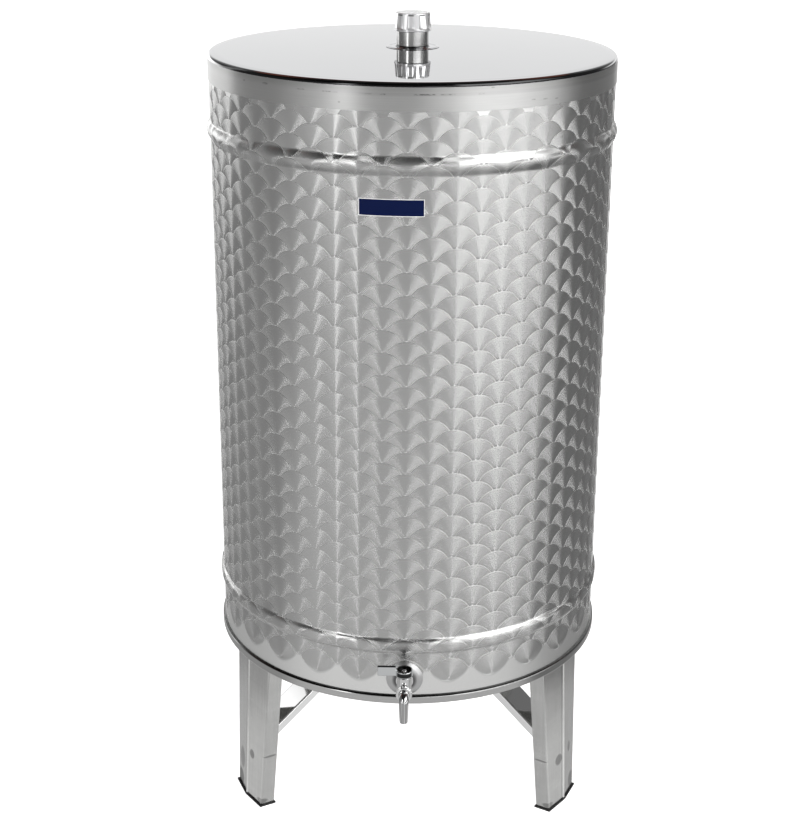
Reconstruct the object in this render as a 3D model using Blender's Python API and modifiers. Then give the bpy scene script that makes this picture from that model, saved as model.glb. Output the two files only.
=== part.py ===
# Upright stainless steel storage tank of 200 litres on a three-legged stand.
# Blender 4.5, metres, +Z up. The tap faces -Y. The floor is z = 0, and the origin is the
# centre of the whole object's footprint, so the tank's own axis lies a little behind it.
import math

import bmesh
import bpy
from mathutils import Matrix, Vector

# Driving dimensions
TANK_RADIUS = 0.280
TANK_SHEET = 0.0010
TANK_BOTTOM_Z = 0.246
TANK_HEIGHT = 0.858
ROUND_STEPS = 72
SMALL_STEPS = 36
FIT_GAP = 0.0003
SMOOTH_ANGLE = math.radians(35)

# Stiffening beads rolled into the wall: height above the floor, half height, depth
UPPER_BEAD = (1.0002, 0.0133, 0.0048)
LOWER_BEAD = (0.3337, 0.0125, 0.0040)
BEAD_STEPS = 6

# Rolled rim strip round the foot of the wall, with the dished bottom inside it
RIM_SHEET = 0.0012
RIM_HEIGHT = 0.012
RIM_OUTER_RADIUS = 0.2838
BOTTOM_SHEET = 0.0012
BOTTOM_RISE = 0.016
BOTTOM_CORNER = 0.0020

# Crowned lid with a turned-down skirt, and the filler neck on its centre
LID_SHEET = 0.0010
LID_SKIRT = 0.036
LID_CROWN = 0.004
LID_CORNER = 0.0060
NECK_RADIUS = 0.02215
NECK_SHEET = 0.0016
NECK_HEIGHT = 0.022
THREAD_RADIUS = 0.0198
THREAD_HEIGHT = 0.0198
NECK_BORE = 0.0183
NECK_INSIDE = 0.009
RING_RADIUS = 0.0365
RING_THICK = 0.0012

# Screw cap with nine broad flutes
CAP_HEIGHT = 0.0247
CAP_TOP_RADIUS = 0.0236
CAP_FOOT_RADIUS = 0.0250
CAP_LIP_RADIUS = 0.0256
CAP_LIP_HEIGHT = 0.0030
CAP_BORE = 0.0203
CAP_TOP_SHEET = 0.0024
CAP_CORNER = 0.0016
FLUTES = 9
FLUTE_RADIUS = 0.014
FLUTE_DEPTH = 0.0019
FLUTE_TURN = math.radians(-5.6)
LINER_THICK = 0.0022

# Tap: height of its bore, and distances measured outward from the wall
TAP_Z = 0.2845
TAP_BORE = 0.0045
TAP_TAIL_RADIUS = 0.0077
TAP_TAIL_INSIDE = 0.020
TAP_HOLE_RADIUS = 0.0080
WASHER_RADIUS = 0.0253
WASHER_RISE = 0.0050
WASHER_SHEET = 0.0012
SEAL_RADIUS = 0.0140
SEAL_THICK = 0.0020
SEAL_SEAT = 0.0020
BACKNUT_RADIUS = 0.0150
BACKNUT_THICK = 0.0060
HOUSING_REACH = 0.028
HOUSING_RADIUS = 0.0100
HOUSING_TOP = 0.0195
HOUSING_BOTTOM = -0.0115
BODY_NECK_RADIUS = 0.0070
BODY_NECK_END = 0.0425
COLLAR_START = 0.0400
COLLAR_END = 0.0454
COLLAR_RADIUS = 0.0110
SPOUT_START_RADIUS = 0.0070
SPOUT_TIP_RADIUS = 0.0056
SPOUT_SHEET = 0.0014
SPOUT_BEND = 0.0090
SPOUT_DROP = 0.0363
SPOUT_ARC_STEPS = 8

# Lever handle: it turns about the plug's upright axis, and lies to the left when shut
PLUG_RADIUS = 0.0062
PLUG_BORE_RADIUS = 0.0065
PLUG_BOTTOM = -0.0082
PLUG_NECK_RADIUS = 0.0040
PLUG_NECK_TOP = 0.0262
HUB_RADIUS = 0.0117
HUB_BOTTOM = 0.0208
HUB_FLOOR = 0.0250
HUB_TOP = 0.0296
HUB_WALL = 0.0020
HUB_HOLE = 0.0043
LEVER_REACH = 0.0363
LEVER_BOTTOM = 0.0199
LEVER_TOP = 0.0347
LEVER_THICK = 0.0026
SCREW_RADIUS = 0.0034
SCREW_HEIGHT = 0.0020

# Stand: three creased channel legs, each with a strut up to the middle of the tank's bottom
LEG_ANGLES = {"left": -60.0, "right": 60.0, "back": 180.0}
LEG_SHEET = 0.0015
LEG_BEND = math.radians(7.3)
LEG_TOP = {"crease": 0.2667, "half": 0.0571, "flange": 0.0223}
LEG_FOOT = {"crease": 0.2776, "half": 0.0411, "flange": 0.0209}
LEG_CORNER = 0.0030
LEG_CORNER_STEPS = 3
RIB_HALF = 0.0026
RIB_HEIGHT = 0.0011
FOOT_THICK = 0.0020
LEG_END_GAP = 0.0005
FOOT_LIP = 0.0022
STRUT_SHEET = 0.0012
STRUT_HALF = 0.0235
STRUT_DEPTH = 0.0120
STRUT_SLOPE = math.radians(36.6)
STRUT_Z_AT_LEG = 0.091
STRUT_CORNER = 0.0025

# Heights that follow from the above
TANK_TOP_Z = TANK_BOTTOM_Z + TANK_HEIGHT
WALL_FOOT_Z = TANK_BOTTOM_Z + RIM_SHEET + FIT_GAP
WALL_TOP_Z = TANK_TOP_Z - LID_CORNER - 0.0005
BOTTOM_PLATE_Z = TANK_BOTTOM_Z + BOTTOM_RISE
LID_CENTRE_Z = TANK_TOP_Z + LID_CROWN
NECK_SHOULDER_Z = LID_CENTRE_Z + NECK_HEIGHT
NECK_TOP_Z = NECK_SHOULDER_Z + THREAD_HEIGHT
CAP_FOOT_Z = NECK_SHOULDER_Z + FIT_GAP
CAP_TOP_Z = CAP_FOOT_Z + CAP_HEIGHT
LINER_Z = NECK_TOP_Z + FIT_GAP
SPOUT_REACH = COLLAR_END + SPOUT_BEND
LEG_FOOT_Z = FOOT_THICK + LEG_END_GAP
LEG_TOP_Z = BOTTOM_PLATE_Z - LEG_END_GAP

# The footprint runs from the spout's front to the upper bead at the back
FRONT_REACH = TANK_RADIUS + SPOUT_REACH + SPOUT_START_RADIUS
BACK_REACH = TANK_RADIUS + UPPER_BEAD[2]
TANK_AXIS_Y = (FRONT_REACH - BACK_REACH) / 2

# Turns an object whose own axis is +Z so that it points out of the front wall
FACING_FRONT = (math.radians(90), 0.0, 0.0)

# Colour, roughness and metallic value of each finish
FINISHES = {
    "swirled_steel": ((0.62, 0.62, 0.61), 0.30, 1.0),
    "satin_steel": ((0.60, 0.60, 0.60), 0.34, 1.0),
    "mirror_steel": ((0.80, 0.80, 0.80), 0.06, 1.0),
    "dull_steel": ((0.55, 0.55, 0.54), 0.42, 1.0),
    "chrome": ((0.82, 0.82, 0.83), 0.08, 1.0),
    "black_rubber": ((0.02, 0.02, 0.02), 0.70, 0.0),
    "white_liner": ((0.80, 0.80, 0.78), 0.55, 0.0),
}


def clear_scene():
    for obj in list(bpy.data.objects):
        bpy.data.objects.remove(obj)


def make_collection(name):
    collection = bpy.data.collections.new(name)
    bpy.context.scene.collection.children.link(collection)
    return collection


def make_material(name, finish):
    color, roughness, metallic = FINISHES[finish]
    material = bpy.data.materials.new(name + "_" + finish)
    material.use_nodes = True
    shader = material.node_tree.nodes["Principled BSDF"]
    shader.inputs["Base Color"].default_value = (*color, 1.0)
    shader.inputs["Roughness"].default_value = roughness
    shader.inputs["Metallic"].default_value = metallic
    return material


def add_object(name, mesh, finish, location=(0, 0, 0), rotation=(0, 0, 0)):
    obj = bpy.data.objects.new(name, mesh)
    obj.location = location
    obj.rotation_euler = rotation
    obj.parent = TANK_AXIS
    if finish:
        mesh.materials.append(make_material(name, finish))
        PARTS.objects.link(obj)
    else:
        obj.hide_render = True
        obj.display_type = "WIRE"
        CUTTERS.objects.link(obj)
    return obj


def smooth(mesh):
    mesh.shade_smooth()
    mesh.set_sharp_from_angle(angle=SMOOTH_ANGLE)


def arc(centre, radius, start, end, steps):
    """Points from one angle to another, in degrees, both ends included."""
    points = []
    for index in range(steps + 1):
        angle = math.radians(start + (end - start) * index / steps)
        points.append((centre[0] + radius * math.cos(angle), centre[1] + radius * math.sin(angle)))
    return points


def turned(name, profile, finish, closed=True, steps=SMALL_STEPS, **placing):
    """A turned piece. The profile's (radius, height) points run down its outer side."""
    mesh = bpy.data.meshes.new(name)
    edges = [(index, index + 1) for index in range(len(profile) - 1)]
    if closed:
        edges.append((len(profile) - 1, 0))
    mesh.from_pydata([(radius, 0, height) for radius, height in profile], edges, [])
    obj = add_object(name, mesh, finish, **placing)
    screw = obj.modifiers.new("turn", "SCREW")
    screw.steps = steps
    screw.render_steps = steps
    screw.use_merge_vertices = True
    screw.merge_threshold = 0.0001
    screw.use_smooth_shade = True
    return obj


def cylinder(name, radius, low, high, finish=None, steps=SMALL_STEPS, **placing):
    """A plain cylinder along its own Z, from one height to another."""
    mesh = bpy.data.meshes.new(name)
    shape = bmesh.new()
    bmesh.ops.create_cone(shape, cap_ends=True, segments=steps, radius1=radius, radius2=radius,
                          depth=high - low, matrix=Matrix.Translation((0, 0, (low + high) / 2)))
    shape.to_mesh(mesh)
    shape.free()
    smooth(mesh)
    return add_object(name, mesh, finish, **placing)


def box(name, low, high, finish=None, **placing):
    """A plain block between two corners."""
    mesh = bpy.data.meshes.new(name)
    shape = bmesh.new()
    size = Vector(high) - Vector(low)
    middle = (Vector(high) + Vector(low)) / 2
    bmesh.ops.create_cube(shape, size=1.0, matrix=Matrix.Translation(middle) @ Matrix.Diagonal((*size, 1)))
    shape.to_mesh(mesh)
    shape.free()
    return add_object(name, mesh, finish, **placing)


def combine(obj, other, operation):
    boolean = obj.modifiers.new(operation.lower(), "BOOLEAN")
    boolean.operation = operation
    boolean.object = other
    boolean.solver = "EXACT"


def solidify(obj, thickness):
    """Gives an open surface its sheet thickness, on the side away from its normals."""
    modifier = obj.modifiers.new("sheet", "SOLIDIFY")
    modifier.thickness = thickness
    modifier.offset = -1.0
    modifier.use_even_offset = True


def sheet_between(name, low_edge, high_edge, thickness, finish, turn):
    """A folded sheet: the surface between two outlines with the same number of points."""
    mesh = bpy.data.meshes.new(name)
    count = len(low_edge)
    faces = [(index, count + index, count + index + 1, index + 1) for index in range(count - 1)]
    mesh.from_pydata(low_edge + high_edge, [], faces)
    obj = add_object(name, mesh, finish, rotation=(0, 0, turn))
    solidify(obj, thickness)
    smooth(mesh)
    return obj


def rounded(points, radius, steps):
    """An open outline with every inner corner replaced by an arc."""
    result = [points[0]]
    for before, corner, after in zip(points, points[1:], points[2:]):
        back = (Vector(before) - Vector(corner)).normalized()
        ahead = (Vector(after) - Vector(corner)).normalized()
        half = back.angle(ahead) / 2
        centre = Vector(corner) + (back + ahead).normalized() * radius / math.sin(half)
        first = Vector(corner) + back * radius / math.tan(half) - centre
        last = Vector(corner) + ahead * radius / math.tan(half) - centre
        for index in range(steps + 1):
            result.append(tuple(centre + first.slerp(last, index / steps).normalized() * radius))
    result.append(points[-1])
    return result


def bead(radius, spec, outward):
    """A shallow round bead on a wall line, from top to bottom, or back up on the inner side."""
    height, half, depth = spec
    bend = (half ** 2 + depth ** 2) / (2 * depth)
    reach = math.degrees(math.asin(half / bend))
    points = arc((radius + depth - bend, height), bend, reach, -reach, BEAD_STEPS)
    return points if outward else points[::-1]


def build_tank():
    inner = TANK_RADIUS - TANK_SHEET
    outside = [(TANK_RADIUS, WALL_TOP_Z)] + bead(TANK_RADIUS, UPPER_BEAD, True)
    outside += bead(TANK_RADIUS, LOWER_BEAD, True) + [(TANK_RADIUS, WALL_FOOT_Z)]
    inside = [(inner, WALL_FOOT_Z)] + bead(inner, LOWER_BEAD, False)
    inside += bead(inner, UPPER_BEAD, False) + [(inner, WALL_TOP_Z)]
    wall = turned("tank_wall", outside + inside, "swirled_steel", steps=ROUND_STEPS)
    hole = cylinder("tap_hole", TAP_HOLE_RADIUS, -0.02, 0.02,
                    location=(0, -TANK_RADIUS, TAP_Z), rotation=FACING_FRONT)
    combine(wall, hole, "DIFFERENCE")

    rim_bore = RIM_OUTER_RADIUS - RIM_SHEET
    rim_inner = TANK_RADIUS - TANK_SHEET - FIT_GAP - 0.0010
    rim_top = TANK_BOTTOM_Z + RIM_HEIGHT
    rim = [(RIM_OUTER_RADIUS - 0.0008, rim_top), (RIM_OUTER_RADIUS, rim_top - 0.0008),
           (RIM_OUTER_RADIUS, TANK_BOTTOM_Z + 0.0008), (RIM_OUTER_RADIUS - 0.0008, TANK_BOTTOM_Z),
           (rim_inner, TANK_BOTTOM_Z), (rim_inner, TANK_BOTTOM_Z + 0.010),
           (rim_inner + 0.0010, TANK_BOTTOM_Z + 0.010), (rim_inner + 0.0010, TANK_BOTTOM_Z + RIM_SHEET),
           (rim_bore, TANK_BOTTOM_Z + RIM_SHEET), (rim_bore, rim_top)]
    turned("bottom_rim", rim, "dull_steel", steps=ROUND_STEPS)

    plate_edge = rim_inner - FIT_GAP
    low = BOTTOM_PLATE_Z
    high = BOTTOM_PLATE_Z + BOTTOM_SHEET
    plate = [(0, high)]
    plate += arc((plate_edge - BOTTOM_CORNER, high - BOTTOM_CORNER), BOTTOM_CORNER, 90, 0, 2)
    plate += [(plate_edge, TANK_BOTTOM_Z + 0.0025), (plate_edge - BOTTOM_SHEET, TANK_BOTTOM_Z + 0.0025)]
    plate += [(plate_edge - BOTTOM_SHEET, low - BOTTOM_CORNER + BOTTOM_SHEET)]
    plate += [(plate_edge - BOTTOM_CORNER, low), (0, low)]
    turned("bottom_plate", plate, "satin_steel", closed=False, steps=ROUND_STEPS)


def crown_height(radius):
    """Height of the lid's crowned top surface at a distance from its centre."""
    return TANK_TOP_Z + LID_CROWN * (1 - (radius / TANK_RADIUS) ** 2)


def build_lid():
    skirt_bore = TANK_RADIUS + FIT_GAP
    skirt = skirt_bore + LID_SHEET
    hole = NECK_RADIUS + FIT_GAP
    corner = (skirt - LID_CORNER, TANK_TOP_Z - LID_CORNER)
    crown = [hole + (corner[0] - hole) * index / 4 for index in range(4)]
    top = [(radius, crown_height(radius)) for radius in crown]
    top += arc(corner, LID_CORNER, 90, 0, 4) + [(skirt, TANK_TOP_Z - LID_SKIRT)]
    under = [(skirt_bore, TANK_TOP_Z - LID_SKIRT)]
    under += arc(corner, LID_CORNER - LID_SHEET, 0, 90, 4)
    under += [(radius, crown_height(radius) - LID_SHEET) for radius in reversed(crown)]
    turned("lid", top + under, "mirror_steel", steps=ROUND_STEPS)

    low = LID_CENTRE_Z - NECK_INSIDE
    step = NECK_SHOULDER_Z - 0.004
    neck_inner = NECK_RADIUS - NECK_SHEET
    neck = [(THREAD_RADIUS, NECK_TOP_Z), (THREAD_RADIUS, NECK_SHOULDER_Z),
            (NECK_RADIUS, NECK_SHOULDER_Z), (NECK_RADIUS, low), (neck_inner, low),
            (neck_inner, step), (NECK_BORE, step + 0.002), (NECK_BORE, NECK_TOP_Z)]
    turned("lid_neck", neck, "satin_steel")

    ring_low = LID_CENTRE_Z + FIT_GAP
    ring_high = ring_low + RING_THICK
    ring = [(hole, ring_high), (RING_RADIUS - 0.004, ring_high), (RING_RADIUS - 0.001, ring_high - 0.0005),
            (RING_RADIUS, ring_low), (hole, ring_low)]
    turned("neck_ring", ring, "mirror_steel")


def build_cap():
    corner_low = CAP_TOP_Z - CAP_CORNER
    lip_top = CAP_FOOT_Z + CAP_LIP_HEIGHT
    outline = [(0, CAP_TOP_Z), (CAP_TOP_RADIUS - CAP_CORNER, CAP_TOP_Z), (CAP_TOP_RADIUS, corner_low),
               (CAP_FOOT_RADIUS, lip_top), (CAP_LIP_RADIUS, lip_top - 0.0004),
               (CAP_LIP_RADIUS, CAP_FOOT_Z), (CAP_BORE, CAP_FOOT_Z),
               (CAP_BORE, CAP_TOP_Z - CAP_TOP_SHEET), (0, CAP_TOP_Z - CAP_TOP_SHEET)]
    base = Vector((0, 0, CAP_FOOT_Z))
    profile = [(radius, height - CAP_FOOT_Z) for radius, height in outline]
    cap = turned("screw_cap", profile, "chrome", closed=False, steps=2 * SMALL_STEPS, location=base)
    reach = CAP_FOOT_RADIUS - FLUTE_DEPTH + FLUTE_RADIUS
    for index in range(FLUTES):
        angle = FLUTE_TURN + math.radians(360 / FLUTES) * index
        place = (reach * math.sin(angle), -reach * math.cos(angle), CAP_FOOT_Z)
        flute = cylinder("flute_%d" % index, FLUTE_RADIUS, CAP_LIP_HEIGHT + 0.0008,
                         CAP_HEIGHT - 0.0022, location=place)
        combine(cap, flute, "DIFFERENCE")
    cylinder("cap_liner", CAP_BORE - FIT_GAP, LINER_Z, LINER_Z + LINER_THICK, "white_liner")


def build_tap():
    front = {"location": (0, -TANK_RADIUS, TAP_Z), "rotation": FACING_FRONT}
    seal_low = -SEAL_SEAT - SEAL_THICK
    seal = [(SEAL_RADIUS, -SEAL_SEAT), (SEAL_RADIUS, seal_low),
            (TAP_HOLE_RADIUS, seal_low), (TAP_HOLE_RADIUS, -SEAL_SEAT)]
    turned("tap_seal", seal, "black_rubber", **front)

    nut_high = seal_low - FIT_GAP
    nut_low = nut_high - BACKNUT_THICK
    nut = cylinder("tap_backnut", BACKNUT_RADIUS, nut_low, nut_high, "dull_steel", steps=6, **front)
    nut_hole = cylinder("backnut_hole", TAP_HOLE_RADIUS, nut_low - 0.01, nut_high + 0.01, **front)
    combine(nut, nut_hole, "DIFFERENCE")

    washer = [(TAP_HOLE_RADIUS, WASHER_RISE), (0.0125, WASHER_RISE), (0.0200, 0.0034),
              (WASHER_RADIUS, 0.0008), (WASHER_RADIUS, FIT_GAP), (WASHER_RADIUS - 0.0012, FIT_GAP),
              (0.0190, 0.0034 - WASHER_SHEET), (0.0120, WASHER_RISE - WASHER_SHEET),
              (TAP_HOLE_RADIUS, WASHER_RISE - WASHER_SHEET)]
    turned("tap_washer", washer, "satin_steel", **front)

    build_tap_body(front)
    collar = [(COLLAR_RADIUS - 0.001, COLLAR_END), (COLLAR_RADIUS, COLLAR_END - 0.001),
              (COLLAR_RADIUS, COLLAR_START + 0.001), (COLLAR_RADIUS - 0.001, COLLAR_START),
              (BODY_NECK_RADIUS + FIT_GAP, COLLAR_START), (BODY_NECK_RADIUS + FIT_GAP, COLLAR_END)]
    turned("tap_collar", collar, "chrome", **front)
    build_spout()
    build_handle()


def build_tap_body(front):
    shoulder = WASHER_RISE + FIT_GAP
    shank = [(0, BODY_NECK_END), (BODY_NECK_RADIUS, BODY_NECK_END), (BODY_NECK_RADIUS, 0.018),
             (0.0092, 0.016), (0.0092, shoulder + 0.0032), (0.0120, shoulder + 0.0026),
             (0.0120, shoulder), (TAP_TAIL_RADIUS, shoulder), (TAP_TAIL_RADIUS, -TAP_TAIL_INSIDE),
             (0, -TAP_TAIL_INSIDE)]
    body = turned("tap_body", shank, "chrome", closed=False, **front)
    upright = (0, -TANK_RADIUS - HOUSING_REACH, TAP_Z)
    housing = [(0, HOUSING_TOP), (HOUSING_RADIUS, HOUSING_TOP), (HOUSING_RADIUS, -0.003),
               (0.0085, -0.0080), (0.0050, HOUSING_BOTTOM), (0, HOUSING_BOTTOM)]
    barrel = turned("tap_housing", housing, None, closed=False, location=upright)
    combine(body, barrel, "UNION")
    bore = cylinder("tap_bore", TAP_BORE, -TAP_TAIL_INSIDE - 0.005, BODY_NECK_END + 0.005, steps=16, **front)
    combine(body, bore, "DIFFERENCE")
    plug_bore = cylinder("tap_plug_bore", PLUG_BORE_RADIUS, PLUG_BOTTOM - FIT_GAP, HOUSING_TOP + 0.01,
                         location=upright)
    combine(body, plug_bore, "DIFFERENCE")


def build_spout():
    """A tapering elbow tube, straight out of the collar and then down."""
    start = BODY_NECK_END + FIT_GAP
    route = [(start, 0.0)]
    route += arc((COLLAR_END, -SPOUT_BEND), SPOUT_BEND, 90, 0, SPOUT_ARC_STEPS)
    route += [(SPOUT_REACH, -SPOUT_DROP)]
    curve = bpy.data.curves.new("spout_route", "CURVE")
    curve.dimensions = "3D"
    curve.bevel_depth = 1.0
    curve.bevel_resolution = 4
    spline = curve.splines.new("POLY")
    spline.points.add(len(route) - 1)
    for index, (reach, height) in enumerate(route):
        share = index / (len(route) - 1)
        point = spline.points[index]
        point.co = (0, -TANK_RADIUS - reach, TAP_Z + height, 1)
        point.radius = SPOUT_START_RADIUS + (SPOUT_TIP_RADIUS - SPOUT_START_RADIUS) * share ** 3
    guide = bpy.data.objects.new("spout_route", curve)
    CUTTERS.objects.link(guide)
    evaluated = guide.evaluated_get(bpy.context.evaluated_depsgraph_get())
    mesh = bpy.data.meshes.new_from_object(evaluated)
    mesh.materials.clear()
    spout = add_object("tap_spout", mesh, "chrome")
    solidify(spout, SPOUT_SHEET)
    smooth(mesh)
    bpy.data.objects.remove(guide)


def build_handle():
    """Plug, handle and screw. Each has its origin on the plug's upright axis."""
    pivot = {"location": (0, -TANK_RADIUS - HOUSING_REACH, TAP_Z)}
    plug_top = HOUSING_TOP - 0.001
    plug = turned("tap_plug", [(0, PLUG_NECK_TOP), (PLUG_NECK_RADIUS, PLUG_NECK_TOP),
                               (PLUG_NECK_RADIUS, plug_top), (PLUG_RADIUS, plug_top),
                               (PLUG_RADIUS, PLUG_BOTTOM), (0, PLUG_BOTTOM)],
                  "dull_steel", closed=False, steps=24, **pivot)
    crossing = cylinder("plug_crossing", TAP_BORE, -0.02, 0.02, steps=16,
                        rotation=(0, math.radians(90), 0), **pivot)
    combine(plug, crossing, "DIFFERENCE")

    hub = [(HUB_RADIUS - HUB_WALL, HUB_TOP), (HUB_RADIUS - 0.0005, HUB_TOP), (HUB_RADIUS, HUB_TOP - 0.0005),
           (HUB_RADIUS, HUB_BOTTOM + 0.0005), (HUB_RADIUS - 0.0005, HUB_BOTTOM), (HUB_HOLE, HUB_BOTTOM),
           (HUB_HOLE, HUB_FLOOR), (HUB_RADIUS - HUB_WALL, HUB_FLOOR)]
    handle = turned("tap_handle", hub, "chrome", **pivot)
    blade = box("tap_blade", (-LEVER_REACH, -LEVER_THICK / 2, LEVER_BOTTOM),
                (-HUB_RADIUS + HUB_WALL / 2, LEVER_THICK / 2, LEVER_TOP), **pivot)
    combine(handle, blade, "UNION")

    low = PLUG_NECK_TOP + FIT_GAP
    turned("tap_screw", [(0, low + SCREW_HEIGHT), (SCREW_RADIUS * 0.6, low + SCREW_HEIGHT * 0.85),
                         (SCREW_RADIUS, low + SCREW_HEIGHT * 0.3), (SCREW_RADIUS, low), (0, low)],
           "chrome", closed=False, steps=20, **pivot)


def leg_size(height, name):
    """A leg dimension at a height, between its foot and its top."""
    share = (height - LEG_FOOT_Z) / (LEG_TOP_Z - LEG_FOOT_Z)
    return LEG_FOOT[name] + (LEG_TOP[name] - LEG_FOOT[name]) * share


def leg_outline(height):
    """Outer outline of a leg on the -Y side: flange, corner, half web, rib and their mirror."""
    crease = leg_size(height, "crease")
    half = leg_size(height, "half")
    flange = leg_size(height, "flange")
    corner_x = half * math.cos(LEG_BEND)
    corner_y = -crease + half * math.sin(LEG_BEND)
    rib_y = -crease + RIB_HALF * math.tan(LEG_BEND)
    side = [(corner_x, corner_y + flange), (corner_x, corner_y), (RIB_HALF, rib_y)]
    right = rounded(side, LEG_CORNER, LEG_CORNER_STEPS)
    left = [(-x, y) for x, y in reversed(right)]
    outline = right + [(0.0, -crease - RIB_HEIGHT)] + left
    return [(x, y, height) for x, y in outline]


def foot_pad(name, turn):
    """Flat pad under a leg, a little wider all round than the leg's foot."""
    outline = leg_outline(LEG_FOOT_Z)
    crease = -outline[len(outline) // 2][1] - RIB_HEIGHT
    flange_end = outline[0]
    corner_x = flange_end[0] + FOOT_LIP
    corner_y = -crease + LEG_FOOT["half"] * math.sin(LEG_BEND) - FOOT_LIP
    back_y = flange_end[1] + FOOT_LIP
    corners = [(corner_x, back_y), (corner_x, corner_y), (0, -crease - FOOT_LIP),
               (-corner_x, corner_y), (-corner_x, back_y)]
    curve = bpy.data.curves.new(name, "CURVE")
    curve.dimensions = "2D"
    curve.fill_mode = "BOTH"
    curve.extrude = FOOT_THICK / 2
    spline = curve.splines.new("POLY")
    spline.points.add(len(corners) - 1)
    spline.use_cyclic_u = True
    for point, (x, y) in zip(spline.points, corners):
        point.co = (x, y, 0, 1)
    guide = bpy.data.objects.new(name + "_outline", curve)
    CUTTERS.objects.link(guide)
    evaluated = guide.evaluated_get(bpy.context.evaluated_depsgraph_get())
    mesh = bpy.data.meshes.new_from_object(evaluated)
    mesh.materials.clear()
    shape = bmesh.new()
    shape.from_mesh(mesh)
    bmesh.ops.remove_doubles(shape, verts=shape.verts, dist=0.0001)
    shape.to_mesh(mesh)
    shape.free()
    bpy.data.objects.remove(guide)
    add_object(name, mesh, "black_rubber", location=(0, 0, FOOT_THICK / 2), rotation=(0, 0, turn))


def strut_edges():
    """Both end outlines of a strut on the -Y side: an upside-down channel, sloping up inward."""
    normal = Vector((0, -math.sin(STRUT_SLOPE), math.cos(STRUT_SLOPE)))
    along = Vector((0, math.cos(STRUT_SLOPE), math.sin(STRUT_SLOPE)))
    seat = leg_size(STRUT_Z_AT_LEG, "crease") - LEG_SHEET - FIT_GAP
    start = Vector((0, -seat, STRUT_Z_AT_LEG))
    section = rounded([(STRUT_HALF, -STRUT_DEPTH), (STRUT_HALF, 0), (0, 0)], STRUT_CORNER, 2)
    section += [(-x, depth) for x, depth in reversed(section[:-1])]
    roof = BOTTOM_PLATE_Z - LEG_END_GAP
    low_edge = []
    high_edge = []
    for x, depth in section:
        point = start + Vector((x, 0, 0)) + normal * depth
        leg_y = -leg_size(point.z, "crease") + LEG_SHEET + FIT_GAP + abs(x) * math.tan(LEG_BEND)
        low_edge.append(tuple(point + along * ((leg_y - point.y) / along.y)))
        high_edge.append(tuple(point + along * ((roof - point.z) / along.z)))
    return low_edge, high_edge


def build_stand():
    for side, degrees in LEG_ANGLES.items():
        turn = math.radians(degrees)
        sheet_between("leg_" + side, leg_outline(LEG_FOOT_Z), leg_outline(LEG_TOP_Z),
                      LEG_SHEET, "satin_steel", turn)
        foot_pad("foot_" + side, turn)
        low_edge, high_edge = strut_edges()
        sheet_between("strut_" + side, low_edge, high_edge, STRUT_SHEET, "satin_steel", turn)


clear_scene()
PARTS = make_collection("storage_tank")
CUTTERS = make_collection("cutters")
TANK_AXIS = bpy.data.objects.new("tank_axis", None)
TANK_AXIS.location = (0, TANK_AXIS_Y, 0)
PARTS.objects.link(TANK_AXIS)
bpy.context.view_layer.update()

build_tank()
build_lid()
build_cap()
build_tap()
build_stand()
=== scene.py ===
from math import copysign, cos, pi, radians, sin, sqrt, tan

import bmesh
import bpy
from mathutils import Matrix, Vector


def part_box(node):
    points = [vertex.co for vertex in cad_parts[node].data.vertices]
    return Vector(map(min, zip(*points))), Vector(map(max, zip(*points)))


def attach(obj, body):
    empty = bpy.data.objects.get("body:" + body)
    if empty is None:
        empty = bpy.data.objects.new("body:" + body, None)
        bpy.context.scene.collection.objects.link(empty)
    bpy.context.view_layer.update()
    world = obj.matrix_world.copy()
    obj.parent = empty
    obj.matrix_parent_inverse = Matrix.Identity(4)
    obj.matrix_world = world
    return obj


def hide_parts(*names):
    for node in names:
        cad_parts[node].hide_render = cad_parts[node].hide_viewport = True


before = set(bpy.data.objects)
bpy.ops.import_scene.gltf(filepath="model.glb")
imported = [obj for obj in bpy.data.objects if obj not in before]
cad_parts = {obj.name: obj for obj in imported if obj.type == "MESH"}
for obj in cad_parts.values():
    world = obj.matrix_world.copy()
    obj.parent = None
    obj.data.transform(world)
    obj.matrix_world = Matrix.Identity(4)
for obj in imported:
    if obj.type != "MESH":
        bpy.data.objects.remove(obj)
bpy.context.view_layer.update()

# Places read from the frame
LID_LOW, LID_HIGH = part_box("lid")
NECK_LOW, NECK_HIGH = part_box("lid_neck")
RING_LOW, RING_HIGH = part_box("neck_ring")
CAP_LOW, CAP_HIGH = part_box("screw_cap")
LINER_LOW, LINER_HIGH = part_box("cap_liner")
RIM_LOW, RIM_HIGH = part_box("bottom_rim")
WALL_LOW, WALL_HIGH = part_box("tank_wall")
PLATE_LOW, PLATE_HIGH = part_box("bottom_plate")
WASHER_LOW, WASHER_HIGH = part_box("tap_washer")
BODY_LOW, BODY_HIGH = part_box("tap_body")
PLUG_LOW, PLUG_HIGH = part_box("tap_plug")
HANDLE_LOW, HANDLE_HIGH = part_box("tap_handle")
SCREW_LOW, SCREW_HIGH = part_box("tap_screw")
COLLAR_LOW, COLLAR_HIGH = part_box("tap_collar")
SPOUT_LOW, SPOUT_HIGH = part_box("tap_spout")
FOOT_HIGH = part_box("foot_left")[1]
AXIS_Y = (LID_LOW.y + LID_HIGH.y) / 2
AXIS = Vector((0.0, AXIS_Y, 0.0))
TAP_Z = (WASHER_LOW.z + WASHER_HIGH.z) / 2
PIVOT_Y = (PLUG_LOW.y + PLUG_HIGH.y) / 2

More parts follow.
